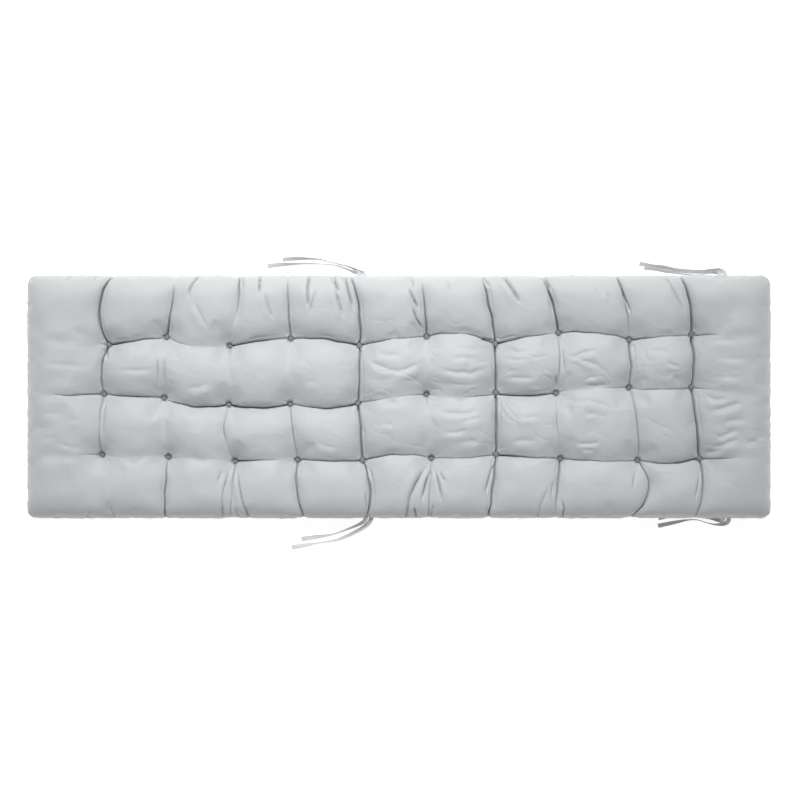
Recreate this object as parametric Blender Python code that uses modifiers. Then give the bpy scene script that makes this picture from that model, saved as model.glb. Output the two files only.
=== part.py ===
"""Tufted chaise lounge cushion: a filled cover, covered tufting buttons and four pairs of ties.

Metres, +Z up. The cushion lies on its back on z = 0 with its length along X. The origin is
the middle of the underside. "Far" is the +Y side and "near" the -Y side.
"""

import math

import bmesh
import bpy
from mathutils import Vector

MM = 0.001

# The filled cover.
LENGTH = 1.700
WIDTH = 0.554
CROWN = 0.080  # the fullest pillows, above the floor
SEAM_HEIGHT = 0.036  # the side seam, where the upper and the lower panel meet
CORNER_RADIUS = 0.024
TOP_ROLL = 0.060  # how far in from the seam the upper panel takes to reach its full height
UNDER_ROLL = 0.032  # the same for the lower panel, which the floor flattens
ROLL_POWER = 2.2

# The tufts: a grid of stitches that pull the two panels together.
COLUMNS = 10
ROWS = 3
COLUMN_PITCH = 0.150
ROW_PITCH = 0.135
TUFT_DEPTH = 0.037  # how far a tuft pulls the upper panel down from the crown
UNDER_TUFT_DEPTH = 0.012  # how far it lifts the lower panel off the floor
SEAT_RADIUS = 0.0125  # the level spot under a button
TUFT_REACH = 0.056  # how far from its seat a tuft still pulls the cloth
CREASE_REACH = 0.068  # half a pillow, over which the cloth rises out of a crease
UNDER_TUFT_REACH = 0.0135
TUFT_SHARPNESS = 2.6  # powers by which the cloth comes away from a tuft and from a crease
CREASE_SHARPNESS = 2.3
CREASE_SHARE = 0.66  # depth of the strongest crease, as a share of the tufts' depth
RIM_PULL = 0.0055  # how far the strongest crease draws the seam in
RIM_NARROWING = 1.6  # how much narrower than its crease that nick in the seam is
FULLNESS_SPREAD = 0.0025  # how much the pillows differ in height
FULLNESS_WAVES = (1.7, 0.6, 2.3, 0.4)  # how that changes from pillow to pillow

# How far each tuft was sewn from its place on the grid, and where the crease past it meets the
# two side seams, in millimetres. One line for each column of tufts, from the -X end.
TUFT_SHIFTS = [
    # far seam  far tuft    middle tuft  near tuft   near seam
    (20, (11, -16), (0, 6), (-4, 2), -8),
    (16, (-7, 1), (-12, -3), (-2, -3), -9),
    (11, (-12, -19), (-14, -18), (0, -12), -10),
    (-29, (-23, -3), (-24, -17), (-7, -10), 7),
    (-35, (-16, -18), (-19, -16), (-8, -11), 2),
    (-25, (-12, 2), (-12, 5), (-1, -6), -8),
    (-37, (-5, -15), (-4, 8), (-3, 2), -21),
    (-47, (-10, 10), (-16, 8), (-6, -7), -18),
    (-28, (1, -5), (1, 20), (21, -11), 6),
    (-31, (-6, 6), (-6, 20), (12, -8), 1),
]

# How far the middle of each stretch of crease bows out of a straight line, in millimetres:
# across the cushion, towards +X, for each column of tufts from the far seam to the near one,
CROSS_BOWS = [
    (-28, -10, -4, 0),
    (3, -4, -2, -2),
    (7, 2, -18, 0),
    (0, 0, 0, -7),
    (10, 2, 1, 12),
    (2, 0, 0, 0),
    (3, 0, 0, 0),
    (3, 4, -4, -3),
    (5, 4, 6, 30),
    (6, 2, 4, 10),
]
# and along it, towards +Y, for each row of tufts from the -X end to the +X end.
LONG_BOWS = [
    (0, 0, -12, 3, 7, 4, 15, 5, 8, 2, 0),
    (0, 0, -12, -8, -10, 3, -9, -6, 5, -4, 0),
    (0, -2, -1, 0, 0, 11, -3, 0, -3, -7, 0),
]

# How deep the creases across the cushion are, from 0 to 1: one line for each column of tufts,
# one figure for each stretch from the far seam to the near one.
CROSS_CREASES = [
    (0.9, 0.8, 0.5, 0.2),
    (0.7, 0.3, 0.5, 0.7),
    (0.6, 0.4, 0.4, 0.7),
    (0.8, 0.3, 0.6, 0.8),
    (1.0, 0.9, 0.9, 0.9),
    (0.7, 0.3, 0.4, 0.8),
    (1.0, 1.0, 1.0, 0.9),
    (0.9, 0.4, 0.4, 0.8),
    (0.8, 0.7, 0.4, 0.9),
    (0.9, 0.8, 0.9, 0.7),
]

# How deep the creases along the cushion are: one line for each row of tufts, far to near, and
# one figure for each stretch from the -X end to the +X end. The first and last fade into the
# plain end pads.
LONG_CREASES = [
    (0.3, 0.8, 0.4, 0.9, 0.9, 0.5, 0.7, 0.7, 0.6, 0.7, 0.3),
    (0.5, 0.7, 0.8, 0.8, 0.7, 0.4, 0.6, 0.8, 0.5, 0.4, 0.3),
    (0.3, 0.4, 0.4, 0.5, 0.5, 0.6, 0.6, 0.5, 0.5, 0.7, 0.5),
]
END_PAD_FADE = 0.55  # share of an end pad over which a long crease runs out

# The cutting lines of the panels' meshes, as shares of one stretch between two tufts, and as
# distances from a seam over the rolled edge.
STRETCH_LINES = (0.0, 0.05, 0.20, 0.50, 0.80, 0.95)
ROLL_LINES = (0.0, 0.002, 0.008, 0.020, 0.040, 0.075)

# Covered tufting buttons: a dome on a level back, standing in its tuft.
BUTTON_RADIUS = 0.006
BUTTON_HEIGHT = 0.0042
BUTTON_STEPS = 12
CLEARANCE = 0.0003  # between pieces that touch

# Ties: flat tapes of folded cloth, each sewn into a side seam by one end.
TIE_WIDTH = 0.0105
TIE_THICKNESS = 0.0014
SEWN_END_GAP = 0.0009  # from the seam to the middle of a tie's end, whose corners reach nearer
TIE_STEP = 0.010  # length of one facet along a tie
FLOOR_GAP = 0.0001

# Where each tie runs, from its root at the seam to its free end, in millimetres: along and
# across the cushion, how high its underside is off the floor, and how far it is rolled about
# its own line, in degrees: 0 lies flat and 90 stands on edge. The root's own across figure is
# taken from the seam.
TIE_LINES = {
    "tie_middle_far_a": [
        (-90, 270, 35, 0),
        (-93, 283, 29, 22),
        (-104, 287, 15, 50),
        (-122, 295, 3, 72),
        (-146, 303, 0, 84),
        (-172, 306, 0, 88),
        (-207, 308, 0, 74),
        (-242, 307, 0, 62),
        (-277, 305, 0, 25),
        (-304, 302, 0, 8),
    ],
    "tie_middle_far_b": [
        (-78, 270, 35, 0),
        (-81, 283, 29, 20),
        (-91, 288, 16, 48),
        (-111, 298, 4, 70),
        (-137, 306, 0, 84),
        (-160, 312, 0, 88),
        (-181, 317, 0, 80),
        (-207, 319, 0, 66),
        (-242, 319, 0, 38),
        (-269, 317, 0, 18),
    ],
    "tie_middle_near_a": [
        (-75, -270, 35, 0),
        (-78, -283, 29, -18),
        (-89, -292, 15, -48),
        (-111, -302, 3, -70),
        (-134, -311, 0, -80),
        (-158, -318, 0, -74),
        (-181, -322, 0, -48),
        (-204, -325, 0, -24),
        (-226, -328, 0, -8),
    ],
    "tie_middle_near_b": [
        (-63, -270, 35, 0),
        (-66, -284, 30, -14),
        (-78, -298, 16, -32),
        (-103, -313, 4, -46),
        (-127, -324, 0, -52),
        (-150, -331, 0, -68),
        (-190, -337, 0, -80),
        (-211, -341, 0, -46),
        (-248, -347, 0, -12),
    ],
    "tie_end_far_a": [
        (748, 270, 35, 0),
        (747, 284, 31, 8),
        (739, 291, 18, 40),
        (721, 291, 4, 62),
        (698, 288, 0, 58),
        (666, 289, 0, 66),
        (638, 293, 0, 80),
        (612, 299, 0, 74),
        (584, 302, 0, 34),
        (555, 308, 0, 14),
    ],
    "tie_end_far_b": [
        (736, 270, 35, 0),
        (735, 283, 28, 16),
        (726, 284, 13, 56),
        (710, 280, 2, 84),
        (690, 279, 0, 88),
        (666, 281, 0, 84),
        (642, 285, 0, 78),
        (617, 290, 0, 62),
        (592, 295, 0, 42),
        (566, 298, 0, 30),
    ],
    "tie_end_near_a": [
        (755, -270, 35, 0),
        (755, -284, 31, -8),
        (748, -292, 17, -40),
        (728, -294, 4, -72),
        (709, -290, 0, -86),
        (688, -284, 0, -86),
        (667, -284, 0, -80),
        (640, -289, 0, -52),
        (598, -298, 0, -22),
    ],
    "tie_end_near_b": [
        (743, -270, 35, 0),
        (742, -283, 27, -10),
        (736, -284, 11, -30),
        (716, -278, 1, -28),
        (690, -274, 0, -12),
        (660, -273, 0, -6),
        (628, -274, 0, -6),
        (599, -280, 0, -8),
    ],
}

CLOTH_COLOUR = (0.54, 0.55, 0.56, 1.0)
TIE_COLOUR = (0.58, 0.59, 0.60, 1.0)


def start_clean():
    """Empties the scene and returns the collection that holds the cushion."""
    for obj in list(bpy.data.objects):
        bpy.data.objects.remove(obj, do_unlink=True)
    collection = bpy.data.collections.new("Chaise lounge cushion")
    bpy.context.scene.collection.children.link(collection)
    return collection


def cloth_material(name, colour, roughness):
    material = bpy.data.materials.new(name)
    material.use_nodes = True
    shader = material.node_tree.nodes["Principled BSDF"]
    shader.inputs["Base Color"].default_value = colour
    shader.inputs["Roughness"].default_value = roughness
    shader.inputs["Metallic"].default_value = 0.0
    return material


def add_object(name, mesh, material, collection):
    if not mesh.materials:
        mesh.materials.append(material)
    mesh.shade_smooth()
    obj = bpy.data.objects.new(name, mesh)
    collection.objects.link(obj)
    return obj


def between(values, at):
    """Value at a whole or part step along a list of numbers or vectors, straight between them."""
    low = min(int(at), len(values) - 2)
    share = at - low
    return values[low] * (1 - share) + values[low + 1] * share


def smooth_step(share):
    share = min(max(share, 0.0), 1.0)
    return share * share * (3 - 2 * share)


# Grid places: u counts the columns of tufts from the -X seam (0) to the +X seam (11), and v the
# rows from the far seam (0) to the near seam (4). Whole numbers in between are tufts.
U_SEAM = COLUMNS + 1
V_SEAM = ROWS + 1
COLUMN_X = [-LENGTH / 2]
COLUMN_X += [(column - (COLUMNS - 1) / 2) * COLUMN_PITCH for column in range(COLUMNS)]
COLUMN_X += [LENGTH / 2]
ROW_Y = [WIDTH / 2]
ROW_Y += [((ROWS - 1) / 2 - row) * ROW_PITCH for row in range(ROWS)]
ROW_Y += [-WIDTH / 2]


def shift_table():
    """Vectors by which the grid is moved at each column and row, seams included."""
    still = [Vector((0.0, 0.0))] * (V_SEAM + 1)
    table = [still]
    for far_seam, far_tuft, middle_tuft, near_tuft, near_seam in TUFT_SHIFTS:
        column = [(far_seam, 0), far_tuft, middle_tuft, near_tuft, (near_seam, 0)]
        table.append([Vector(shift) * MM for shift in column])
    table.append(still)
    return table


SHIFTS = shift_table()


def bow(bows, line, at):
    """How far a line of creases stands off straight at a place along it; the seams are straight."""
    if not 1 <= line <= len(bows):
        return 0.0
    stretch = min(int(at), len(bows[0]) - 1)
    share = at - stretch
    return bows[line - 1][stretch] * MM * 4 * share * (1 - share)


def plan_place(u, v):
    """Where a grid place lies seen from above, before the corners are rounded."""
    column, row = min(int(u), U_SEAM - 1), min(int(v), V_SEAM - 1)
    right, down = u - column, v - row
    shift = between(SHIFTS[column], v) * (1 - right) + between(SHIFTS[column + 1], v) * right
    x_bow = bow(CROSS_BOWS, column, v) * (1 - right) + bow(CROSS_BOWS, column + 1, v) * right
    y_bow = bow(LONG_BOWS, row, u) * (1 - down) + bow(LONG_BOWS, row + 1, u) * down
    straight = Vector((between(COLUMN_X, u), between(ROW_Y, v)))
    return straight + shift + Vector((x_bow, y_bow))


def along_bands(strengths, at):
    """Strength of a crease at a place along it, blended between the middles of its stretches."""
    return between(strengths, min(max(at - 0.5, 0.0), len(strengths) - 1.0001))


def cross_crease(column, v):
    """Strength of the crease across the cushion at a column of tufts."""
    return along_bands(CROSS_CREASES[column - 1], v)


def long_crease(row, u):
    """Strength of the crease along the cushion at a row of tufts, running out in the end pads."""
    past_last_tuft = max(1 - u, u - COLUMNS, 0.0)
    return along_bands(LONG_CREASES[row - 1], u) * (1 - smooth_step(past_last_tuft / END_PAD_FADE))


def out_of_crease(distance):
    """How much of a crease's depth is left at a distance from its line."""
    return max(0.0, 1 - distance / CREASE_REACH) ** CREASE_SHARPNESS


def out_of_tuft(distance, reach):
    """How much of a tuft's pull is left at a distance from its button."""
    return max(0.0, 1 - max(0.0, distance - SEAT_RADIUS) / reach) ** TUFT_SHARPNESS


def nearest_tuft(u, v):
    column = min(max(round(u), 1), COLUMNS)
    row = min(max(round(v), 1), ROWS)
    return column, row


def tuft_pull(u, v, place):
    """Pull of the tufts and creases on the upper panel at a grid place, from 0 to 1."""
    column, row = nearest_tuft(u, v)
    from_cross = (place - plan_place(column, v)).length
    from_long = (place - plan_place(u, row)).length
    from_tuft = (place - plan_place(column, row)).length
    left = 1 - out_of_tuft(from_tuft, TUFT_REACH)
    left *= 1 - CREASE_SHARE * cross_crease(column, v) * out_of_crease(from_cross)
    left *= 1 - CREASE_SHARE * long_crease(row, u) * out_of_crease(from_long)
    return 1 - left


def rolled_edge(distance, roll):
    """Share of its full height that a panel has reached at a distance in from the seam."""
    out = 1 - min(max(distance / roll, 0.0), 1.0)
    return (1 - out**ROLL_POWER) ** (1 / ROLL_POWER)


def fullness(u, v):
    """How much fuller or slacker than the others a pillow is, in metres."""
    along, start, across, skew = FULLNESS_WAVES
    return FULLNESS_SPREAD * math.sin(along * u + start) * math.cos(across * v + skew * u)


def rounded_corner(place):
    """Moves a place in a corner of the cover's rectangle onto the rounded plan."""
    from_x = (LENGTH / 2 - abs(place.x)) / CORNER_RADIUS
    from_y = (WIDTH / 2 - abs(place.y)) / CORNER_RADIUS
    if from_x >= 1 or from_y >= 1:
        return place
    out = Vector((1 - from_x, 1 - from_y))
    out *= max(out) / max(out.length, 1e-9)
    inner_x = LENGTH / 2 - CORNER_RADIUS
    inner_y = WIDTH / 2 - CORNER_RADIUS
    x = math.copysign(inner_x + out.x * CORNER_RADIUS, place.x)
    y = math.copysign(inner_y + out.y * CORNER_RADIUS, place.y)
    return Vector((x, y))


def drawn_in(u, v, place, from_seam):
    """How far the creases draw the long sides in at a grid place near a side seam."""
    column = min(max(round(u), 1), COLUMNS)
    from_line = (place - plan_place(column, v)).length
    near_line = out_of_crease(from_line * RIM_NARROWING)
    band = 0.0 if v < V_SEAM / 2 else float(V_SEAM)
    pull = RIM_PULL * cross_crease(column, band) * near_line
    return pull * max(0.0, 1 - from_seam / TOP_ROLL)


def panel_point(u, v, upper):
    """The point of the upper or the lower panel at a grid place."""
    place = plan_place(u, v)
    from_end = LENGTH / 2 - abs(place.x)
    from_side = WIDTH / 2 - abs(place.y)
    roll = TOP_ROLL if upper else UNDER_ROLL
    shell = rolled_edge(from_end, roll) * rolled_edge(from_side, roll)
    if upper:
        pull = tuft_pull(u, v, place)
        rise = CROWN - SEAM_HEIGHT - TUFT_DEPTH * pull + fullness(u, v) * (1 - pull)
        z = SEAM_HEIGHT + shell * rise
    else:
        column, row = nearest_tuft(u, v)
        from_tuft = (place - plan_place(column, row)).length
        dimple = UNDER_TUFT_DEPTH * out_of_tuft(from_tuft, UNDER_TUFT_REACH)
        z = SEAM_HEIGHT * (1 - shell) + dimple
    on_plan = rounded_corner(place)
    on_plan.y -= math.copysign(drawn_in(u, v, place, from_side), place.y)
    return Vector((on_plan.x, on_plan.y, z))


def grid_lines(places):
    """Grid numbers of a panel's mesh lines along one direction, from seam to seam."""
    last = len(places) - 1
    first_stretch = abs(places[1] - places[0])
    rolled = [distance / first_stretch for distance in ROLL_LINES]
    near_tuft = [share for share in STRETCH_LINES if share > 0.5]
    lines = rolled + near_tuft
    for stretch in range(1, last - 1):
        lines += [stretch + share for share in STRETCH_LINES]
    lines += [last - 1 + (1 - share) for share in reversed(near_tuft)]
    lines += [last - share for share in reversed(rolled)]
    return sorted(lines + [last - 1])


U_LINES = grid_lines(COLUMN_X)
V_LINES = grid_lines(ROW_Y)


def add_panel(mesh, upper):
    """Adds one panel: a plain grid of cloth, shaped over the filling."""
    across, down = len(U_LINES) - 1, len(V_LINES) - 1
    made = bmesh.ops.create_grid(mesh, x_segments=across, y_segments=down, size=0.5)
    for vertex in made["verts"]:
        u = U_LINES[round((vertex.co.x + 0.5) * across)]
        v = V_LINES[round((0.5 - vertex.co.y) * down)]
        vertex.co = panel_point(u, v, upper)
    if not upper:
        faces = {face for vertex in made["verts"] for face in vertex.link_faces}
        bmesh.ops.reverse_faces(mesh, faces=list(faces))


def make_cushion(collection, material):
    """The filled cover: two panels closed along the side seam."""
    mesh = bmesh.new()
    add_panel(mesh, upper=True)
    add_panel(mesh, upper=False)
    bmesh.ops.remove_doubles(mesh, verts=mesh.verts, dist=0.00005)
    data = bpy.data.meshes.new("cushion")
    mesh.to_mesh(data)
    mesh.free()
    return add_object("cushion", data, material, collection)


def button_mesh():
    """Half outline of a covered button, top to back, for a Screw modifier to turn."""
    outline = [
        (0.00, 1.00),
        (0.45, 0.93),
        (0.82, 0.68),
        (1.00, 0.32),
        (0.88, 0.00),
        (0.00, 0.00),
    ]
    mesh = bpy.data.meshes.new("button")
    points = [(share * BUTTON_RADIUS, 0.0, up * BUTTON_HEIGHT) for share, up in outline]
    edges = [(index, index + 1) for index in range(len(points) - 1)]
    mesh.from_pydata(points, edges, [])
    return mesh


def turn(obj, steps):
    screw = obj.modifiers.new("Turned", "SCREW")
    screw.axis = "Z"
    screw.steps = steps
    screw.render_steps = steps
    screw.use_merge_vertices = True
    screw.merge_threshold = 0.0001
    screw.use_smooth_shade = True


def make_buttons(collection, material):
    """One button in each tuft of the upper panel."""
    mesh = button_mesh()
    for row in range(1, ROWS + 1):
        for column in range(1, COLUMNS + 1):
            button = add_object(f"button_r{row}_c{column:02d}", mesh, material, collection)
            seat = panel_point(column, row, upper=True)
            button.location = seat + Vector((0.0, 0.0, CLEARANCE))
            turn(button, BUTTON_STEPS)


def curve_through(points, at):
    """Point of the smooth curve through all the points, at a whole or part step along them."""
    last = len(points) - 1
    low = min(int(at), last - 1)
    t = at - low
    before = points[max(low - 1, 0)]
    start, end = points[low], points[low + 1]
    after = points[min(low + 2, last)]
    straight = (end - before) * 0.5
    bend = before - start * 2.5 + end * 2 - after * 0.5
    twist = (start - end) * 1.5 + (after - before) * 0.5
    return start + straight * t + bend * t**2 + twist * t**3


def seam_y(x, side):
    """Across place of the side seam at a place along the cushion; side is 1 far, -1 near."""
    v = 0.0 if side > 0 else float(V_SEAM)
    seam = [panel_point(u, v, upper=True) for u in U_LINES]
    for one, two in zip(seam, seam[1:]):
        if one.x <= x <= two.x:
            return one.y + (two.y - one.y) * (x - one.x) / (two.x - one.x)
    raise ValueError("a tie's root lies off the side seam")


def under_roll_inset(height):
    """How far in from the seam the rolled edge of the lower panel is at a height."""
    shell = 1 - min(max(height / SEAM_HEIGHT, 0.0), 1.0)
    return UNDER_ROLL * (1 - (1 - shell**ROLL_POWER) ** (1 / ROLL_POWER))


def clear_of_side(place, across, side):
    """Moves a place on a tie out, where the tie would be in the cover's side."""
    half = TIE_WIDTH / 2
    reach = abs(across.y) * half + TIE_THICKNESS / 2
    top = place.z + abs(across.z) * half + TIE_THICKNESS / 2
    seams = [side * seam_y(place.x + offset, side) for offset in (-half, 0.0, half)]
    least = max(seams) - under_roll_inset(top) + reach + CLEARANCE
    return Vector((place.x, side * max(side * place.y, least), place.z))


def sewn_root(x, side):
    """Place and across direction of a tie's end where it is sewn along the side seam."""
    half = TIE_WIDTH / 2
    left = Vector((x - half, seam_y(x - half, side), SEAM_HEIGHT))
    right = Vector((x + half, seam_y(x + half, side), SEAM_HEIGHT))
    out = Vector((0.0, side * SEWN_END_GAP, 0.0))
    along = (right - left).normalized()
    return (left + right) / 2 + out, along * side


def tie_frames(line):
    """Middle point and across direction of a tie at each step from its root to its free end."""
    side = 1 if line[0][1] > 0 else -1
    points = [Vector((*row[:3], 0.0)) for row in line]
    rolls = [row[3] for row in line]
    length = sum((b - a).length for a, b in zip(points, points[1:])) * MM
    steps = round(length / TIE_STEP)
    frames = []
    for step in range(steps + 1):
        at = step / steps * (len(points) - 1)
        roll = math.radians(between(rolls, at))
        place = curve_through(points, at).to_3d() * MM
        ahead = curve_through(points, min(at + 0.05, len(points) - 1.0)).to_3d()
        behind = curve_through(points, max(at - 0.05, 0.0)).to_3d()
        forward = (ahead - behind).normalized()
        sideways = forward.cross(Vector((0.0, 0.0, 1.0))).normalized()
        upright = sideways.cross(forward)
        across = sideways * math.cos(roll) + upright * math.sin(roll)
        lift = abs(across.z) * TIE_WIDTH / 2 + TIE_THICKNESS / 2 + FLOOR_GAP
        place.z = max(place.z, 0.0) + lift
        frames.append((clear_of_side(place, across, side), across))
    frames[0] = sewn_root(frames[0][0].x, side)
    return frames


def make_tie(name, line, collection, material):
    """A flat tape: a one-wide strip of cloth laid along its line, then given its thickness."""
    frames = tie_frames(line)
    steps = len(frames) - 1
    strip = bmesh.new()
    made = bmesh.ops.create_grid(strip, x_segments=steps, y_segments=1, size=0.5)
    for vertex in made["verts"]:
        place, across = frames[round((vertex.co.x + 0.5) * steps)]
        vertex.co = place + across * (math.copysign(0.5, vertex.co.y) * TIE_WIDTH)
    data = bpy.data.meshes.new(name)
    strip.to_mesh(data)
    strip.free()
    tie = add_object(name, data, material, collection)
    thickness = tie.modifiers.new("Folded cloth", "SOLIDIFY")
    thickness.thickness = TIE_THICKNESS
    thickness.offset = 0.0
    return tie


def main():
    collection = start_clean()
    cloth = cloth_material("Cover cloth", CLOTH_COLOUR, 0.75)
    button_cloth = cloth_material("Button cloth", CLOTH_COLOUR, 0.70)
    tape = cloth_material("Tie cloth", TIE_COLOUR, 0.75)
    make_cushion(collection, cloth)
    make_buttons(collection, button_cloth)
    for name, line in TIE_LINES.items():
        make_tie(name, line, collection, tape)


main()
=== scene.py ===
"""Dresses the tufted chaise lounge cushion: its padded cover, covered buttons, ties and studio.

The cushion lies on its back with its length along X. "Far" is its +Y side, "near" its -Y side.
"""

import math

import bpy
import numpy as np
from bpy.props import FloatProperty, FloatVectorProperty, PointerProperty
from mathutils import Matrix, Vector


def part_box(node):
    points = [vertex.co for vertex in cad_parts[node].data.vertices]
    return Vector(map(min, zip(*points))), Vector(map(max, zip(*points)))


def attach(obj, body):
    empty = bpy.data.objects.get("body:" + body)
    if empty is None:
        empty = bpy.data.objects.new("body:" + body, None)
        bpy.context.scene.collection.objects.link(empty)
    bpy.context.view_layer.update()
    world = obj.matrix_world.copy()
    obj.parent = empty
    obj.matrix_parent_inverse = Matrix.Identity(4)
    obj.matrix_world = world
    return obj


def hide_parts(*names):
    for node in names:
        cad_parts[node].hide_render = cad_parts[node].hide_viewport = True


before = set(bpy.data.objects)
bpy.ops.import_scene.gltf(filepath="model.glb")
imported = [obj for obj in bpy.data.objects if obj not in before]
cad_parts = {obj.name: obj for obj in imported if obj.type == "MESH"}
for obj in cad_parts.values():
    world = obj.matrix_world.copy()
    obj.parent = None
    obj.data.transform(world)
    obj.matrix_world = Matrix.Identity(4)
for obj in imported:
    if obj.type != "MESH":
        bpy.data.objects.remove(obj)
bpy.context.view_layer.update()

bl_info = {
    "name": "Tufted lounger cushion",
    "version": (1, 0, 0),
    "blender": (4, 5, 0),
    "location": "3D View > Sidebar > Cushion",
    "description": "Makes the padded cover, buttons and ties of a tufted chaise lounge cushion",
    "category": "Object",
}

MM = 0.001

# The cover, from the frame.
COVER_LOW, COVER_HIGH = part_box("cushion")
LENGTH = COVER_HIGH.x - COVER_LOW.x
WIDTH = COVER_HIGH.y - COVER_LOW.y
CROWN = 0.080
SEAM_HEIGHT = 0.036
CORNER_RADIUS = 0.021
TOP_ROLL = 0.060  # how far in from the seam the upper panel takes to reach its full height
UNDER_ROLL = 0.032
ROLL_POWER = 2.2
OFF_SEAM = 0.35  # share of its full height at which a panel's folds have all their depth

# The tufts.
COLUMNS = 10
ROWS = 3
COLUMN_PITCH = 0.150
ROW_PITCH = 0.135
TUFT_DEPTH = 0.037
UNDER_TUFT_DEPTH = 0.012
SEAT_RADIUS = 0.0057
TUFT_REACH = 0.056
UNDER_TUFT_REACH = 0.026
CREASE_REACH = 0.068
TUFT_SHARPNESS = 2.9
CREASE_SHARPNESS = 2.3
CREASE_SHARE = 0.62
RIM_PULL = 0.0038
RIM_NARROWING = 1.6

# Where the crease past each column of tufts meets the two side seams: millimetres from its
# place on the even grid, towards +X.
FAR_SEAM_SHIFTS = (20, 16, 11, -29, -35, -25, -37, -47, -28, -31)
NEAR_SEAM_SHIFTS = (-8, -9, -10, 7, 2, -8, -21, -18, 6, 1)

# How far the middle of each stretch of crease bows out of a straight line, in millimetres:
# across the cushion, towards +X, for each column of tufts from the far seam to the near one,
CROSS_BOWS = (
    (-23, -8, -4, 0),
    (3, -4, -2, -2),
    (7, 2, -15, 0),
    (0, 0, 0, -7),
    (10, 2, 1, 12),
    (2, 0, 0, 0),
    (3, 0, 0, 0),
    (3, 4, -4, -3),
    (5, 2, 6, 30),
    (6, 4, 0, 10),
)
# and along it, towards +Y, for each row of tufts from the -X end to the +X end.
LONG_BOWS = (
    (0, 0, -12, 3, 7, 4, 15, 5, 8, 2, 0),
    (0, 0, -12, -8, -10, 3, -9, -6, 5, -4, 0),
    (0, -2, -1, 0, 0, 11, -3, 0, -3, -7, 0),
)

# How deep the valleys between the pillows are, from 0 to 1, for the same stretches.
CROSS_VALLEYS = (
    (0.55, 0.8, 0.5, 0.2),
    (0.5, 0.3, 0.5, 0.6),
    (0.4, 0.4, 0.4, 0.6),
    (0.55, 0.3, 0.6, 0.7),
    (0.65, 0.9, 0.9, 0.8),
    (0.5, 0.3, 0.4, 0.7),
    (0.65, 1.0, 1.0, 0.75),
    (0.6, 0.4, 0.4, 0.6),
    (0.55, 0.7, 0.4, 0.8),
    (0.6, 0.8, 0.9, 0.55),
)
LONG_VALLEYS = (
    (0.3, 0.8, 0.4, 0.9, 0.9, 0.5, 0.7, 0.7, 0.6, 0.7, 0.3),
    (0.5, 0.7, 0.8, 0.8, 0.7, 0.4, 0.6, 0.8, 0.5, 0.4, 0.3),
    (0.3, 0.4, 0.4, 0.5, 0.5, 0.6, 0.6, 0.5, 0.5, 0.7, 0.5),
)
END_PAD_FADE = 0.55
SEAM_SHARE = 0.45  # of a valley's depth that is left where it meets a side seam
SEAM_TAPER = 0.09  # how far in from there it has all its depth again

# How sharply the cloth is folded in along the bottom of those valleys. Each stretch has three
# digits, in tenths: at its start, its middle and its end.
CROSS_CLEFTS = (
    ("999", "865", "434", "211"),
    ("158", "222", "121", "367"),
    ("630", "320", "241", "433"),
    ("256", "111", "343", "567"),
    ("589", "678", "899", "678"),
    ("167", "212", "311", "334"),
    ("389", "999", "799", "777"),
    ("789", "342", "232", "852"),
    ("652", "764", "343", "457"),
    ("999", "989", "699", "654"),
)
LONG_CLEFTS = (
    ("003", "853", "322", "863", "467", "633", "535", "942", "544", "633", "500"),
    ("035", "464", "277", "886", "367", "423", "224", "675", "223", "333", "310"),
    ("013", "212", "222", "731", "455", "543", "334", "943", "533", "357", "520"),
)
CLEFT_DEPTH = 0.018
CLEFT_HALF_WIDTHS = (0.0019, 0.0034)  # of the faintest cleft and of the strongest
CLEFT_SHARPNESS = 1.4
CLEFT_UNEVENNESS = 0.3  # how much a cleft's width varies, as a share of it
CLEFT_UNEVEN_LENGTHS = (0.05, 0.09)
CLEFT_START = 0.004  # from a tuft's middle, under its button
CLEFT_START_REACH = 0.004
CLEFT_LEAN_START = 0.015  # from a tuft's middle, past which it is cut in square to its valley's bottom
CLEFT_LEAN_REACH = 0.030  # how gradually it turns to that
STEEPEST_LEAN = 0.05  # least upward part of the direction that it is cut in by
FAINTEST_CLEFT = 0.22  # strength up to which a valley has no cleft at all
SOFT_VALLEY = 0.018  # how widely the bottom of a valley without a cleft is rounded
CLEFT_VALLEY = 0.0025  # the same, with the strongest cleft
FURROW_DEPTH = 0.005  # how much lower the pillows' edges turn down into the strongest cleft
FURROW_HALF_WIDTH = 0.016
FURROW_SHARPNESS = 2.0
FURROW_GAIN = 1.1  # how soon a stronger cleft has all of that depth
FURROW_START = 0.008  # how gradually it begins beside a tuft's seat
COMPANION_OFFSET = 0.0070  # from a strong cleft to the fainter fold beside it
COMPANION_SWAY = 0.3  # how much that varies, as a share of it
COMPANION_DEPTH = 0.0018
COMPANION_HALF_WIDTH = 0.0032
COMPANION_CLEFTS = (0.4, 0.8)  # strengths of a cleft with none of that depth and with all of it
COMPANION_LENGTHS = (0.09, 0.15)  # of the waves by which it changes from side to side
COMPANION_CROSSING = 0.3  # height of those waves up to which it is fainter
COMPANION_START = 0.009  # how gradually it begins beside a button
SHARP_FOLD = 62.0  # degrees between two faces, past which they're shaded apart
WAVER = 0.0014  # how far the creases stray from their smooth lines
WAVER_LENGTHS = (0.055, 0.11)
WAVER_SEAM_SLOPE = 3  # how quickly that begins past a seam, for each grid step
WAVER_SLOPE = 16  # the same past a crease, beside a tuft
WAVER_AT_TUFT = 0.16  # how free the cloth is right at a tuft, where 1 is wholly free
HELD_STEPS = (0.06, 0.08)  # grid steps along and across within which a tuft holds its creases
SLIT_SHARE = 1.0  # how much deeper a pleat is right along its line, as a share of its depth
SLIT_HALF_WIDTH = 0.0026
SLIT_SHARPNESS = 1.3
DEEPEST_SLIT = 5.0  # millimetres
SEAM_PLEAT = 268  # millimetres from the middle past which a pleat is gathered at the seam
NICK_SHARE = 0.35  # how far such a pleat draws the seam in, as a share of its depth
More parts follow.
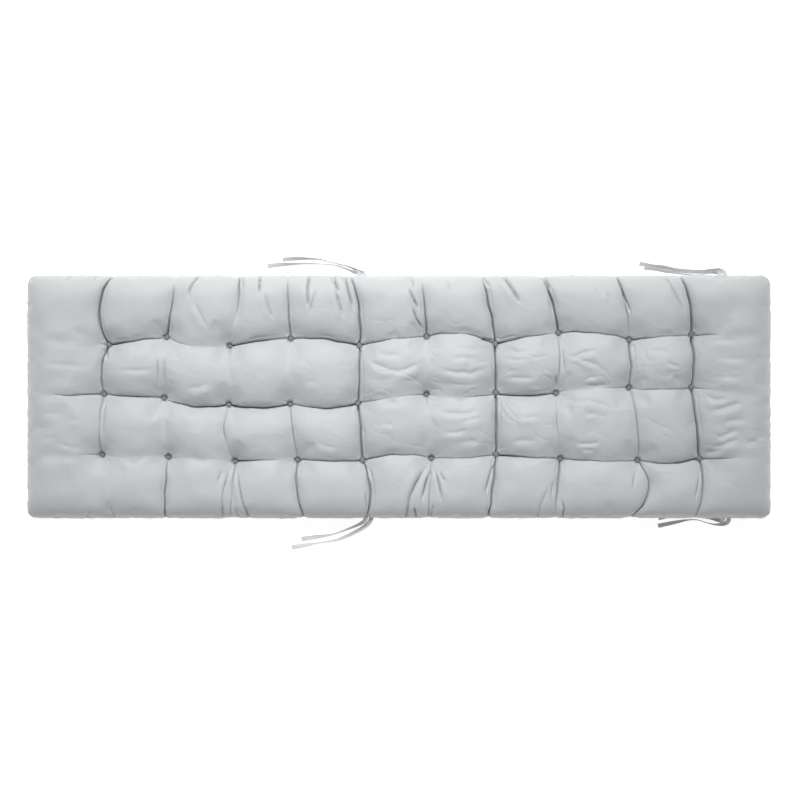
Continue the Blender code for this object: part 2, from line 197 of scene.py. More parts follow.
NICK_WIDENING = 1.3
NICK_SHARPNESS = 1.5
CLEFT_NICK = 0.0015  # how far the strongest cleft draws it in
CLEFT_NICK_WIDTH = 0.007
CLEFT_NICK_SHARPNESS = 1.3
AT_SEAM = 0.05  # grid steps in from a side seam, where a cleft's strength at it is read
PULL_SHARE = 0.625  # of the rolled edge, over which the drawn-in seam's pull wears off

# How slack and crumpled each pillow is, in tenths: a word for each row of pillows, far to near,
# with a digit for each from the -X end to the +X end.
SLACKNESS = ("21222333211", "23433899755", "22323577666", "11111222223")

# Pleats beside the clefts, mostly gathered at the side seams. Lip is the height of the roll of
# cloth along the fold's right-hand side, looking along it, or along its left-hand side where it
# is negative. All in millimetres.
PLEATS = (
    # depth, half width, lip, places along it (x, y)
    (4.5, 5, 1.0, ((-458, 277), (-470, 255), (-478, 235), (-479, 222))),
    (1.5, 8, 2.2, ((-464, 216), (-432, 150))),
    (5.0, 5, 0.5, ((-316, 277), (-318, 233))),
    (3.0, 5, 0.5, ((-355, 277), (-355, 251))),
    (2.5, 7, 1.5, ((-305, 240), (-296, 199), (-284, 171))),
    (5.5, 6, 0.8, ((-204, 277), (-208, 245), (-206, 194))),
    (2.0, 6, 1.5, ((-186, 249), (-190, 226), (-206, 180))),
    (7.0, 7, 1.5, ((-151, 277), (-144, 256), (-135, 235))),
    (4.0, 7, 2.0, ((-144, 245), (-137, 215), (-124, 176))),
    (8.0, 7, 2.0, ((-126, 277), (-117, 256), (-112, 233), (-99, 187))),
    (6.5, 5, 1.5, ((20, 248), (32, 224), (47, 194))),
    (4.5, 5, 1.0, ((28, 206), (40, 176), (57, 149))),
    (2.5, 5, 1.0, ((25, 277), (32, 263), (34, 245))),
    (2.2, 5, 1.0, ((103, 267), (112, 254), (117, 240))),
    (2.5, 5, 1.0, ((190, 275), (204, 254))),
    (7.5, 8, 2.5, ((238, 277), (250, 256), (259, 240), (277, 208))),
    (3.0, 5, 0.5, ((332, 277), (341, 249))),
    (3.0, 5, 0.5, ((339, 222), (351, 187))),
    (2.2, 6, 1.0, ((470, 238), (483, 219))),
    (4.0, 4, 0.5, ((505, 250), (513, 224), (522, 201), (529, 184))),
    (2.8, 6, 1.2, ((609, 272), (625, 238), (653, 185))),
    (2.0, 4, 0.5, ((-655, -260), (-648, -277))),
    (2.0, 4, 0.5, ((-706, -262), (-713, -277))),
    (3.0, 5, 0.8, ((-383, -159), (-392, -191), (-399, -218), (-403, -277))),
    (3.8, 5, 1.0, ((-371, -163), (-366, -195), (-357, -236), (-344, -277))),
    (2.0, 5, 0.5, ((-373, -255), (-366, -277))),
    (2.0, 6, 0.8, ((-403, -168), (-410, -195))),
    (2.0, 6, 0.8, ((-69, -159), (-62, -191))),
    (2.5, 5, 1.0, ((-78, -214), (-73, -237), (-71, -262))),
    (4.5, 9, 2.6, ((66, -154), (37, -202), (25, -230), (16, -277))),
    (5.0, 6, 1.5, ((76, -163), (64, -191), (50, -243))),
    (4.0, 6, -1.5, ((80, -163), (87, -191), (99, -241))),
    (2.5, 6, -1.0, ((89, -168), (105, -195))),
    (2.5, 5, 0.5, ((78, -245), (73, -277))),
    (3.5, 5, 0.5, ((35, -256), (39, -277))),
    (5.0, 7, 1.5, ((218, -149), (204, -195), (197, -225))),
    (3.5, 5, 0.5, ((364, -228), (376, -254), (373, -277))),
    (2.0, 7, 0.8, ((342, -198), (333, -222), (322, -248), (317, -277))),
    (2.0, 7, 0.8, ((352, -190), (347, -228))),
    (2.5, 6, 0.8, ((541, -168), (534, -191), (532, -210))),
    (3.5, 6, 0.8, ((685, -163), (683, -191), (671, -240))),
    (3.0, 5, 0.8, ((-669, 110), (-664, 78))),
    (3.0, 5, 0.5, ((-669, -7), (-672, -53), (-674, -99))),
    (2.0, 5, 1.0, ((-548, 96), (-545, 20))),
    (2.0, 5, -1.0, ((-534, 96), (-536, 20))),
    (2.0, 5, 1.0, ((369, 119), (373, 84), (378, 43))),
    (3.0, 5, 0.5, ((357, 52), (360, 16))),
    (5.0, 6, 1.0, ((186, 132), (208, 129), (218, 125))),
    (2.2, 6, 0.5, ((-752, 275), (-760, 262))),
    (2.2, 6, 0.5, ((-692, 275), (-700, 262))),
)

LIP_CREST = 1.4  # half widths from a fold's line to the crest of its lip
LIP_FALL = 2.0  # half widths over which the lip falls away beyond that
FOLD_END = 0.35  # share of a fold's length over which it begins, and ends
GATHERED_STRIP = 0.03  # beside a side seam, where a pleat gathered at it keeps all its depth

# Slack wrinkles on the pillows, listed towards +X, in the same columns.
WRINKLES = (
    (1.6, 9, 1.4, ((-646, 61), (-600, 60), (-548, 61))),
    (1.2, 10, 1.1, ((-822, 75), (-754, 73), (-696, 66))),
    (1.6, 10, 2.3, ((-488, 20), (-456, 22), (-424, 34))),
    (1.3, 9, 1.2, ((-781, -104), (-749, -113), (-713, -117))),
    (1.0, 8, 0.9, ((-754, -49), (-719, -56))),
    (1.0, 8, 0.9, ((-811, -97), (-777, -90))),
    (0.9, 9, 0.7, ((-822, -37), (-754, -40))),
    (2.4, 10, 2.5, ((-69, 83), (-44, 70), (-8, 58))),
    (2.3, 10, 2.5, ((-22, 56), (14, 62), (54, 79))),
    (1.6, 10, 1.3, ((-62, 103), (-20, 94), (10, 96))),
    (1.0, 9, 0.9, ((5, 108), (40, 112))),
    (2.4, 9, 2.2, ((86, 64), (128, 55), (150, 55), (182, 46))),
    (1.7, 9, 1.4, ((155, 50), (180, 60), (200, 63))),
    (1.6, 10, 1.3, ((112, 86), (150, 90), (190, 84))),
    (1.4, 10, 1.1, ((120, 112), (152, 108), (192, 106))),
    (0.9, 9, 0.7, ((-220, 36), (-176, 34))),
    (1.6, 10, 1.4, ((-64, -18), (-32, -13), (16, -15))),
    (2.1, 9, 1.8, ((82, -30), (117, -38), (150, -39), (190, -30))),
    (1.6, 9, 1.4, ((132, -62), (160, -52), (196, -45))),
    (1.7, 8, 1.8, ((92, -81), (125, -81), (160, -75))),
    (1.2, 9, 0.9, ((130, -104), (165, -101), (195, -95))),
    (1.0, 8, 0.9, ((-44, -60), (-8, -64))),
    (1.2, 8, 1.1, ((-186, -101), (-163, -113), (-135, -117))),
    (1.9, 8, 1.4, ((232, 44), (278, 43), (316, 42))),
    (1.4, 9, 1.3, ((228, 108), (270, 102), (312, 106))),
    (1.4, 8, 1.1, ((236, 90), (262, 84), (300, 86))),
    (1.0, 7, 0.9, ((300, 92), (322, 84))),
    (2.5, 9, 2.2, ((386, 86), (420, 100), (452, 108))),
    (2.1, 8, 2.0, ((402, 84), (430, 80), (456, 68))),
    (1.6, 7, 1.5, ((414, 32), (430, 42), (452, 50))),
    (1.8, 8, 1.5, ((412, 30), (450, 24), (486, 28))),
    (2.7, 7, 3.1, ((602, 80), (620, 74), (642, 64))),
    (1.8, 10, 1.5, ((560, 108), (600, 104), (630, 96))),
    (1.4, 8, 1.3, ((262, -44), (286, -46), (330, -46))),
    (1.7, 9, 1.6, ((246, -108), (277, -98), (318, -100))),
    (1.9, 8, 1.6, ((372, -2), (402, -12), (430, -8), (462, -18), (492, -26))),
    (1.6, 7, 1.8, ((422, -42), (446, -38))),
    (2.1, 7, 2.2, ((394, -104), (426, -107), (462, -102))),
    (2.1, 7, 2.0, ((412, -120), (446, -120))),
    (3.3, 9, 3.0, ((696, 4), (715, -6), (748, -4))),
    (3.8, 11, 3.4, ((702, -34), (735, -26), (786, -10))),
    (3.3, 10, 3.0, ((716, -96), (745, -84), (772, -70))),
    (3.3, 10, 3.3, ((706, -120), (740, -106), (776, -92))),
    (3.0, 8, 2.4, ((694, -127), (715, -125), (738, -120))),
    (1.7, 10, 1.7, ((725, -56), (770, -52), (800, -54))),
    (1.7, 10, 1.4, ((705, 46), (740, 44), (785, 46))),
    (1.4, 10, 1.4, ((710, 90), (760, 86), (800, 88))),
    (1.7, 9, 1.7, ((700, 124), (735, 128), (770, 126))),
)

# How finely the cover's cloth is cut up.
INNER_STEPS = 96  # mesh steps from one tuft to the next, along the cushion
INNER_ROW_STEPS = 64
ROLL_STEPS = 20  # over the rolled edge
END_STEPS = 40  # from there to the first tuft, along the cushion
SIDE_STEPS = 44  # the same, across it
ROLL_CROWDING = 1.35  # how the steps crowd towards the seam
TUFT_CROWDING = 0.5  # how much shorter the step beside a crease is than one far from it
TUFT_CROWD_STEPS = 5.0  # steps over which that wears off
MOST_FACES = 186000  # triangles that the whole cover keeps
UNDERSIDE = 0.8  # share of the seam's height, below which the lower panel is plain
UNDER_KEEP = 0.12  # share of its faces that the plain underside keeps
SEWING_DISTANCE = 0.00002  # up to which points of the two panels are joined

# How the filling swells the cloth. It settles on a coarser grid than the finished cover's.
COARSER = 3  # steps of the finished cover in one of the settling cloth's
COARSE_ROLL_STEPS = 8
SETTLING_FRAMES = 20
SLACK = 0.008  # how much larger the cloth is than the filling it is laid over
SETTLING_CLOTH = {
    "quality": 6,
    "mass": 0.3,
    "tension_stiffness": 12.0,
    "compression_stiffness": 12.0,
    "shear_stiffness": 4.0,
    "bending_stiffness": 5.0,
    "shrink_min": -SLACK,
    "use_pressure": True,
    "uniform_pressure_force": 4.0,
}
HELD_SEAM = 0.001  # strip of the cloth that the seam holds
HELD_RADIUS = 0.014  # of the cloth that each button holds down
HELD_CREASE = 0.009  # from a crease's line, past which the cloth isn't held
HOLD_EDGE = 0.006  # how gradually the cloth is held, at the edge of where it is
CREASE_HOLD = 0.5  # how firmly the strongest cleft is held, from 0 to 1
LEAST_HOLD = 0.01  # below which a hold is left out
MOST_SETTLING = 0.0032  # farthest that the cloth moves
SETTLING_START = 0.040  # how gradually that begins round a button
CALM_SHARE = 0.7  # how much less the cloth moves right along a crease
CALM_REACH = 0.022

# The cover's small forms. Lengths are those of the waves that they are made of.
RUMPLE_HEIGHT = 0.0016  # of the filling's unevenness
RUMPLE_LENGTHS = (0.30, 0.14, 0.07)
SEAM_RIDGE = 0.0014  # how far the turned-in seam stands out
SEAM_RIDGE_WIDTH = 0.00035
SEAM_GROOVE = 0.0009  # how deep the groove on each side of it is
SEAM_GROOVE_OFFSET = 0.0011  # from the seam to its middle, and from there to its edge
PUCKER_HEIGHT = 0.0009
PUCKER_LENGTHS = (0.021, 0.034, 0.055)
PUCKER_REACH = 0.014
GATHER_HEIGHT = 0.0009  # of the small gathers round each button
GATHER_COUNTS = (6, 10)  # from the first number round a button to less than the second
GATHER_SWAY = 1.3  # how unevenly they are spread
GATHER_START = 0.004
GATHER_REACH = 0.013
CRUMPLE_HEIGHT = 0.0017  # of the slack little folds
CRUMPLE_LENGTHS = (0.036, 0.052, 0.075)
CRUMPLE_SPREAD = 32.0  # degrees that they turn from the cushion's length, at most
CRUMPLE_WARP = 0.010  # how far they wander across it
CRUMPLE_WARP_LENGTHS = (0.05, 0.09)
CRUMPLE_NARROWNESS = 2.6  # how narrow their grooves are, beside the cloth between them
CRUMPLE_SHARPNESS = 1.5
CRUMPLE_SWELL = 0.3  # how high the cloth between them stands, as a share of their depth
CRUMPLE_START = 0.012  # how gradually they begin round a button
CRUMPLE_CLEARANCE = 0.02  # from a crease, past which they have all their depth
PATCH_LENGTHS = (0.06, 0.10)  # of the patches that they lie in
PATCH_CONTRAST = 1.1
PATCH_COVER = 0.35  # how far those patches spread
UNEVEN_HEIGHT = 0.0003  # of the cloth's own unevenness
UNEVEN_LENGTHS = (0.045, 0.026)
PIT_RIM = 0.0045  # how far the cloth bunches up round each button
PIT_RIM_RISE = 0.0040  # distance over which it does
PIT_RIM_REACH = 0.012
RIM_GAP = 0.0055  # from a crease's line, where it runs through that bunching
RIM_GAP_GAIN = 1.3  # how soon a stronger cleft parts it wholly

# Smooth noise, and a seed for each use of chance.
NOISE_WAVES = 9  # of each length
NOISE_STRETCH = (0.7, 1.4)  # shortest and longest of them, as shares of that length
NOISE_PEAK = 1.4  # how high their sum stands, before it is brought down to about 1
SEEDS = {
    "rumples": 11,
    "gathers": 12,
    "puckers": 13,
    "unevenness": 14,
    "buttons": 15,
    "crumple warp": 16,
    "crumples": 17,
    "waver along": 18,
    "waver across": 19,
    "companions": 20,
    "crumple patches": 23,
    "cleft widths": 24,
}

# The buttons. Heights are shares of their radius.
BUTTON_RADIUS = 0.006
BUTTON_SEGMENTS = 28
BUTTON_RINGS = 16
BUTTON_DOME = 0.45
BUTTON_BACK = 0.25
BUTTON_LIFT = 0.10  # of its widest line over the seat
BUTTON_GATHERS = 9  # of its cloth, round the back
BUTTON_GATHER_DEPTH = 0.07
BUTTON_LEAN = 0.16  # steepest slope that it lies at, each way
BUTTON_SINK = 0.0042  # how far the buttons are drawn in below the level seats of the solid
SUNK_RADIUS = 0.010  # of the cloth that is drawn in with them
SUNK_EDGE = 0.004  # how gradually it is

# Ties, in millimetres and degrees: along and across the cushion, the height of the tie's
# underside, and its roll about its own line.
TIE_WIDTH = 0.0105
TIE_THICKNESS = 0.0014
TIE_STEP = 0.0022
TIE_CROSS_STEPS = 6
TIE_EDGE = 0.35  # share of its thickness that its edges are rounded over
TIE_EDGE_SEGMENTS = 2
TIE_EDGE_ANGLE = 50  # degrees between two faces, past which their edge is rounded
TIE_ROOT_PLACES = 2  # places of a line over which the tie may still touch the cover's side
HEADING_STEP = 0.05  # of the way between two places, each way, that its heading is taken over
FLOOR_GAP = 0.0001  # left under a tie that lies on the floor
TIE_LINES = {
    "tie_middle_far_a": (
        (-90, 270, 35, 0),
        (-93, 283, 29, 22),
        (-104, 287, 15, 50),
        (-122, 295, 3, 72),
        (-146, 303, 0, 84),
        (-172, 306, 0, 88),
        (-207, 308, 0, 74),
        (-242, 307, 0, 62),
        (-277, 305, 0, 25),
        (-304, 302, 0, 8),
    ),
    "tie_middle_far_b": (
        (-78, 270, 35, 0),
        (-81, 283, 29, 20),
        (-91, 288, 16, 48),
        (-111, 298, 4, 70),
        (-137, 306, 0, 84),
        (-160, 312, 0, 88),
        (-181, 317, 0, 80),
        (-207, 319, 0, 66),
        (-242, 319, 0, 38),
        (-269, 317, 0, 18),
    ),
    "tie_middle_near_a": (
        (-75, -270, 35, 0),
        (-78, -283, 29, -18),
        (-89, -292, 15, -48),
        (-111, -302, 3, -70),
        (-134, -311, 0, -80),
        (-158, -318, 0, -74),
        (-181, -322, 0, -48),
        (-204, -325, 0, -24),
        (-226, -328, 0, -8),
    ),
    "tie_middle_near_b": (
        (-63, -270, 35, 0),
        (-66, -284, 30, -14),
        (-78, -298, 16, -32),
        (-103, -313, 4, -46),
        (-127, -324, 0, -52),
        (-150, -331, 0, -68),
        (-190, -337, 0, -80),
        (-211, -341, 0, -46),
        (-248, -347, 0, -12),
    ),
    "tie_end_far_a": (
        (748, 270, 35, 0),
        (746, 284, 31, 8),
        (737, 291, 18, 30),
        (719, 291, 4, 34),
        (698, 289, 0, 28),
        (666, 290, 0, 26),
        (638, 293, 0, 30),
        (612, 299, 0, 36),
        (584, 302, 0, 30),
        (555, 308, 0, 14),
    ),
    "tie_end_far_b": (
        (736, 270, 35, 0),
        (734, 283, 28, 16),
        (725, 286, 13, 56),
        (710, 284, 2, 84),
        (690, 281, 0, 88),
        (666, 282, 0, 84),
        (642, 285, 0, 78),
        (617, 289, 0, 62),
        (592, 295, 0, 42),
        (566, 298, 0, 30),
    ),
    "tie_end_near_a": (
        (755, -270, 35, 0),
        (755, -284, 31, -8),
        (748, -292, 17, -40),
        (728, -294, 4, -72),
        (709, -290, 0, -86),
        (688, -284, 0, -86),
        (667, -284, 0, -80),
        (640, -289, 0, -52),
        (598, -298, 0, -22),
    ),
    "tie_end_near_b": (
        (743, -270, 35, 0),
        (742, -283, 27, -10),
        (736, -284, 11, -30),
        (716, -278, 1, -28),
        (690, -274, 0, -12),
        (660, -273, 0, -6),
        (628, -274, 0, -6),
        (599, -280, 0, -8),
    ),
}

# The cloth's look. Tones are shares of its colour, and lengths are in metres.
DYE_SCALE = 9.0
DYE_TONE = 0.06
SLUB_SCALE = (60.0, 900.0, 60.0)
SLUB_TONE = 0.04
SLUB_ROUGHNESS = 0.12
# Painted shade between the threads: the cloth's colour is this share darker where the weave is low
# than on its crests.
THREAD_PAINTED_SHADE = 0.05
THREAD_BUMP = 0.0001
DARKEST_TONE = 0.955
CLOTH_ROUGHNESS = 0.50
CREPE_SCALE = 55.0  # of the faint unevenness between the threads and the folds
CREPE_BUMP = 0.0012

# The studio.
VIEW_WIDTH = 1.833  # what the camera sees across, at the height of the seam
VIEW_CENTRE = (0.0023, -0.0074)
LENS = 85.0
SENSOR = 36.0
KEY_PLACE = (-0.1, 3.0, 3.8)
KEY_SIZE = (2.2, 1.6)
KEY_AIM = (-0.12, 0.22, 0.0)
KEY_SPREAD = 42.0  # degrees
SKY_STRENGTH = 0.43
FLOOR_SIZE = 80.0
FLOOR_DROP = 0.0004  # below the cushion's underside
FLOOR_COLOUR = (0.88, 0.88, 0.88, 1.0)
FLOOR_GLOW = 0.70
FLOOR_TONE = 0.01  # how uneven the floor's tone is


class CushionLooks(bpy.types.PropertyGroup):
    """What a user would change on the dressed cushion."""

    cover_colour: FloatVectorProperty(
        name="Cover colour",
        description="Colour of the cover's cloth",
        subtype="COLOR",
        size=4,
        min=0.0,
        max=1.0,
        default=(0.435, 0.446, 0.453, 1.0),
    )
    # Darker than the cover's cloth, though the buttons are covered in the same cloth: painted shade
    # for the pits that they sit in.
    shaded_button_colour: FloatVectorProperty(
        name="Shaded button colour",
        description="Colour of the cloth on the buttons, darkened as painted shade of their pits",
        subtype="COLOR",
        size=4,
        min=0.0,
        max=1.0,
        default=(0.165, 0.169, 0.173, 1.0),
    )
    tie_colour: FloatVectorProperty(
        name="Tie colour",
        description="Colour of the ties",
        subtype="COLOR",
        size=4,
        min=0.0,
        max=1.0,
        default=(0.50, 0.51, 0.52, 1.0),
    )
    thread_pitch: FloatProperty(
        name="Thread pitch",
        description="Distance from one thread of the weave to the next",
        subtype="DISTANCE",
        unit="LENGTH",
        min=0.0002,
        max=0.003,
        default=0.0006,
    )
    key_power: FloatProperty(
        name="Key light power",
        description="Power of the large soft light beyond the far side",
        subtype="POWER",
        unit="POWER",
        min=0.0,
        default=19.4,
    )


# ---------------------------------------------------------------------------------------------
# The cover's shape
# ---------------------------------------------------------------------------------------------
# Grid places: u counts the columns of tufts from the -X seam (0) to the +X seam (11), and v the
# rows from the far seam (0) to the near seam (4).


def tuft_seat(row, column):
    """Centre of a button's level back, from the frame."""
    low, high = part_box(f"button_r{row}_c{column:02d}")
    return Vector(((low.x + high.x) / 2, (low.y + high.y) / 2, low.z))


def grid_nodes():
    """Where the whole numbers of the grid lie on the plan: the tufts, and the ends of creases."""
    x = np.zeros((COLUMNS + 2, ROWS + 2))
    y = np.zeros((COLUMNS + 2, ROWS + 2))
    row_y = [WIDTH / 2, ROW_PITCH, 0.0, -ROW_PITCH, -WIDTH / 2]
    x[0, :], x[-1, :] = -LENGTH / 2, LENGTH / 2
    y[0, :], y[-1, :] = row_y, row_y
    for column in range(1, COLUMNS + 1):
        even = (column - (COLUMNS + 1) / 2) * COLUMN_PITCH
        x[column, 0] = even + FAR_SEAM_SHIFTS[column - 1] * MM
        x[column, -1] = even + NEAR_SEAM_SHIFTS[column - 1] * MM
        y[column, 0], y[column, -1] = WIDTH / 2, -WIDTH / 2
        for row in range(1, ROWS + 1):
            x[column, row], y[column, row] = tuft_seat(row, column).xy
    return x, y


NODE_X, NODE_Y = grid_nodes()


def padded_bows(bows):
    """A table of bows as an array, with a straight line added for each seam."""
    table = np.zeros((len(bows) + 2, len(bows[0])))
    table[1:-1] = np.array(bows) * MM
    return table


CROSS_BOW_TABLE = padded_bows(CROSS_BOWS)
LONG_BOW_TABLE = padded_bows(LONG_BOWS)


def smooth_step(share):
    share = np.clip(share, 0.0, 1.0)
    return share * share * (3 - 2 * share)


def plan_place(u, v):
    """Where grid places lie seen from above, before the corners are rounded."""
    i = np.minimum(u.astype(int), COLUMNS)
    j = np.minimum(v.astype(int), ROWS)
    right, down = u - i, v - j
    left, up = 1 - right, 1 - down
    cross_bow = CROSS_BOW_TABLE[i, j] * left + CROSS_BOW_TABLE[i + 1, j] * right
    long_bow = LONG_BOW_TABLE[j, i] * up + LONG_BOW_TABLE[j + 1, i] * down
    corners = ((0, 0, left * up), (1, 0, right * up), (0, 1, left * down), (1, 1, right * down))
    x = sum(NODE_X[i + a, j + b] * share for a, b, share in corners)
    y = sum(NODE_Y[i + a, j + b] * share for a, b, share in corners)
    x, y = x + cross_bow * 4 * down * up, y + long_bow * 4 * right * left
    stray = WAVER * smooth_step(np.minimum(v, ROWS + 1 - v) * WAVER_SEAM_SLOPE)
    stray = stray * smooth_step(np.minimum(u, COLUMNS + 1 - u) * WAVER_SEAM_SLOPE)
    off_column, off_row = np.minimum(left, right), np.minimum(up, down)
    free = WAVER_AT_TUFT + WAVER_SLOPE * np.minimum(off_column, off_row)
    free = free + (off_column > HELD_STEPS[0]) + (off_row > HELD_STEPS[1])
    stray = stray * smooth_step(free)
    stray_x = smooth_noise(x, y, WAVER_LENGTHS, SEEDS["waver along"])
    stray_y = smooth_noise(x, y, WAVER_LENGTHS, SEEDS["waver across"])
    return x + stray * stray_x, y + stray * stray_y


def along_stretches(table, line, at):
    """Depth of the valley on each line of tufts, blended between the middles of its stretches."""
    table = np.array(table)
    at = np.clip(at - 0.5, 0.0, table.shape[1] - 1.0001)
    low = at.astype(int)
    share = at - low
    return table[line - 1, low] * (1 - share) + table[line - 1, low + 1] * share


def in_stretch(chart, line, at):
    """Strength of the cleft on each line of tufts, from its three digits in each stretch."""
    digits = np.array([[[int(c) / 9 for c in word] for word in row] for row in chart])
    stretch = np.clip(at.astype(int), 0, digits.shape[1] - 1)
    share = np.clip(at - stretch, 0.0, 1.0) * 2
    part = np.minimum(share.astype(int), 1)
    share = share - part
    start = digits[line - 1, stretch, part]
    end = digits[line - 1, stretch, part + 1]
    return start + (end - start) * share


def valley(distance, cleft):
    """Share of its depth that a valley has at a distance from its line."""
    rounding = CLEFT_VALLEY + (SOFT_VALLEY - CLEFT_VALLEY) * (1 - cleft) ** 2
    softened = np.hypot(distance, rounding) - rounding
    return np.maximum(0.0, 1 - softened / CREASE_REACH) ** CREASE_SHARPNESS


def on_pillows(chart, u, v):
    """A chart's digits as shares of 1, blended from the middle of each pillow to the next."""
    table = np.array([[int(digit) / 9 for digit in word] for word in chart])
    down = np.clip(v - 0.5, 0.0, table.shape[0] - 1.0001)
    right = np.clip(u - 0.5, 0.0, table.shape[1] - 1.0001)
    j, i = down.astype(int), right.astype(int)
    down, right = smooth_step(down - j), smooth_step(right - i)
    upper = table[j, i] * (1 - right) + table[j, i + 1] * right
    lower = table[j + 1, i] * (1 - right) + table[j + 1, i + 1] * right
    return upper * (1 - down) + lower * down


def rolled_edge(distance, roll):
    """Share of its full height that a panel has reached at a distance in from the seam."""
    out = 1 - np.clip(distance / roll, 0.0, 1.0)
    return (1 - out**ROLL_POWER) ** (1 / ROLL_POWER)


class CoverPlaces:
    """Grid places on the cover, with what its shape is worked out from."""

    def __init__(self, u, v):
        self.u, self.v = u, v
        self.column = np.clip(np.rint(u).astype(int), 1, COLUMNS)
        self.row = np.clip(np.rint(v).astype(int), 1, ROWS)
        self.x, self.y = plan_place(u, v)
        self.from_end = LENGTH / 2 - np.abs(self.x)
        self.from_side = WIDTH / 2 - np.abs(self.y)
        self.from_seam = np.maximum(np.minimum(self.from_side, self.from_end), 0.0)
        cross_x, cross_y = plan_place(self.column.astype(float), v)
        long_x, long_y = plan_place(u, self.row.astype(float))
        self.beside_cross, self.beside_long = self.x - cross_x, self.y - long_y
        self.from_cross = np.hypot(self.beside_cross, self.y - cross_y)
        self.from_long = np.hypot(self.x - long_x, self.beside_long)
        self.from_crease = np.minimum(self.from_cross, self.from_long)
        self.tuft_x = NODE_X[self.column, self.row]
        self.tuft_y = NODE_Y[self.column, self.row]
        self.from_tuft = np.hypot(self.x - self.tuft_x, self.y - self.tuft_y)
        self.off_seam = smooth_step(rolled_edge(self.from_side, TOP_ROLL) / OFF_SEAM)
        self.off_seam *= smooth_step(rolled_edge(self.from_end, TOP_ROLL) / OFF_SEAM)

    def creases(self):
        """Strength of the cleft in the nearest crease across, and its distance; the same along."""
        across = in_stretch(CROSS_CLEFTS, self.column, self.v)
        along = in_stretch(LONG_CLEFTS, self.row, self.u)
        return (across, self.from_cross), (along, self.from_long)


def smooth_noise(x, y, lengths, seed, spread=180.0):
    """Seeded smooth noise of about -1 to 1, from waves that run within a spread of +Y."""
    random = np.random.default_rng(seed)
    total = np.zeros_like(x)
    for length in lengths:
        for _ in range(NOISE_WAVES):
            heading = math.radians(90 + random.uniform(-spread, spread))
            phase = random.uniform(0, 2 * math.pi)
            reach = length * random.uniform(*NOISE_STRETCH)
            along = x * math.cos(heading) + y * math.sin(heading)
            total += np.sin(2 * math.pi * along / reach + phase)
    return total / (NOISE_WAVES * len(lengths)) ** 0.5 / NOISE_PEAK


def upper_base(u, v):
    """The upper panel over the filling, with its valleys but no folds, as an array of points."""
    at = CoverPlaces(u, v)
    taper = SEAM_SHARE + (1 - SEAM_SHARE) * smooth_step(at.from_side / SEAM_TAPER)
    past_tufts = np.maximum(np.maximum(1 - u, u - COLUMNS), 0.0)
    depths = (
        along_stretches(CROSS_VALLEYS, at.column, v) * taper,
        along_stretches(LONG_VALLEYS, at.row, u) * (1 - smooth_step(past_tufts / END_PAD_FADE)),
    )
    off_seat = np.maximum(0.0, at.from_tuft - SEAT_RADIUS)
    left = 1 - np.maximum(0.0, 1 - off_seat / TUFT_REACH) ** TUFT_SHARPNESS
    gap = furrow = 0.0
    for (strength, distance), depth in zip(at.creases(), depths):
        left *= 1 - CREASE_SHARE * depth * valley(distance, strength)
        gap = np.maximum(gap, strength * smooth_step(1 - distance / RIM_GAP))
        edge = cusp(distance, FURROW_HALF_WIDTH, FURROW_SHARPNESS)
        furrow = np.maximum(furrow, smooth_step(strength * FURROW_GAIN) * edge)
    bunched = PIT_RIM * smooth_step(off_seat / PIT_RIM_RISE) * np.exp(-off_seat / PIT_RIM_REACH)
    bunched *= 1 - np.minimum(1.0, RIM_GAP_GAIN * gap)
    rumple = RUMPLE_HEIGHT * smooth_noise(at.x, at.y, RUMPLE_LENGTHS, SEEDS["rumples"])
    rise = CROWN - SEAM_HEIGHT - TUFT_DEPTH * (1 - left) + rumple * left + bunched
    rise -= FURROW_DEPTH * furrow * smooth_step(off_seat / FURROW_START)
    rise -= BUTTON_SINK * smooth_step((SUNK_RADIUS - at.from_tuft) / SUNK_EDGE)
    shell = rolled_edge(at.from_end, TOP_ROLL) * rolled_edge(at.from_side, TOP_ROLL)
    x, y = rounded_corner(at.x, at.y)
    y -= np.sign(at.y) * seam_pull(at, TOP_ROLL)
    return np.stack([x, y, SEAM_HEIGHT + shell * rise], axis=1)


def under_base(u, v):
    """The lower panel, flat on the floor but for its rolled edge and a dimple at each tuft."""
    at = CoverPlaces(u, v)
    shell = rolled_edge(at.from_end, UNDER_ROLL) * rolled_edge(at.from_side, UNDER_ROLL)
    tuft = np.maximum(0.0, 1 - at.from_tuft / UNDER_TUFT_REACH) ** TUFT_SHARPNESS
    x, y = rounded_corner(at.x, at.y)
    y -= np.sign(at.y) * seam_pull(at, UNDER_ROLL)
    return np.stack([x, y, SEAM_HEIGHT * (1 - shell) + UNDER_TUFT_DEPTH * tuft], axis=1)


def seam_pull(at, roll):
    """How far the seam and the cloth beside it are drawn in where creases and pleats meet it."""
    far = at.y > 0
    nick = np.maximum(0.0, 1 - at.from_cross * RIM_NARROWING / CREASE_REACH) ** CREASE_SHARPNESS
    depth = along_stretches(CROSS_VALLEYS, at.column, np.where(far, 0.0, ROWS + 1.0))
    pull = RIM_PULL * depth * nick
    cleft = in_stretch(CROSS_CLEFTS, at.column, np.where(far, AT_SEAM, ROWS + 1 - AT_SEAM))
    pull += CLEFT_NICK * cleft * cusp(at.from_cross, CLEFT_NICK_WIDTH, CLEFT_NICK_SHARPNESS)
    for depth, half_width, _, places in PLEATS:
        x, y = max(places[0], places[-1], key=lambda place: abs(place[1]))
        if abs(y) < SEAM_PLEAT:
            continue
        width = half_width * NICK_WIDENING * MM
        nick = cusp(np.abs(at.x - x * MM), width, NICK_SHARPNESS)
        pull += (far == (y > 0)) * depth * NICK_SHARE * MM * nick
    return pull * (1 - smooth_step(at.from_side / (roll * PULL_SHARE)))


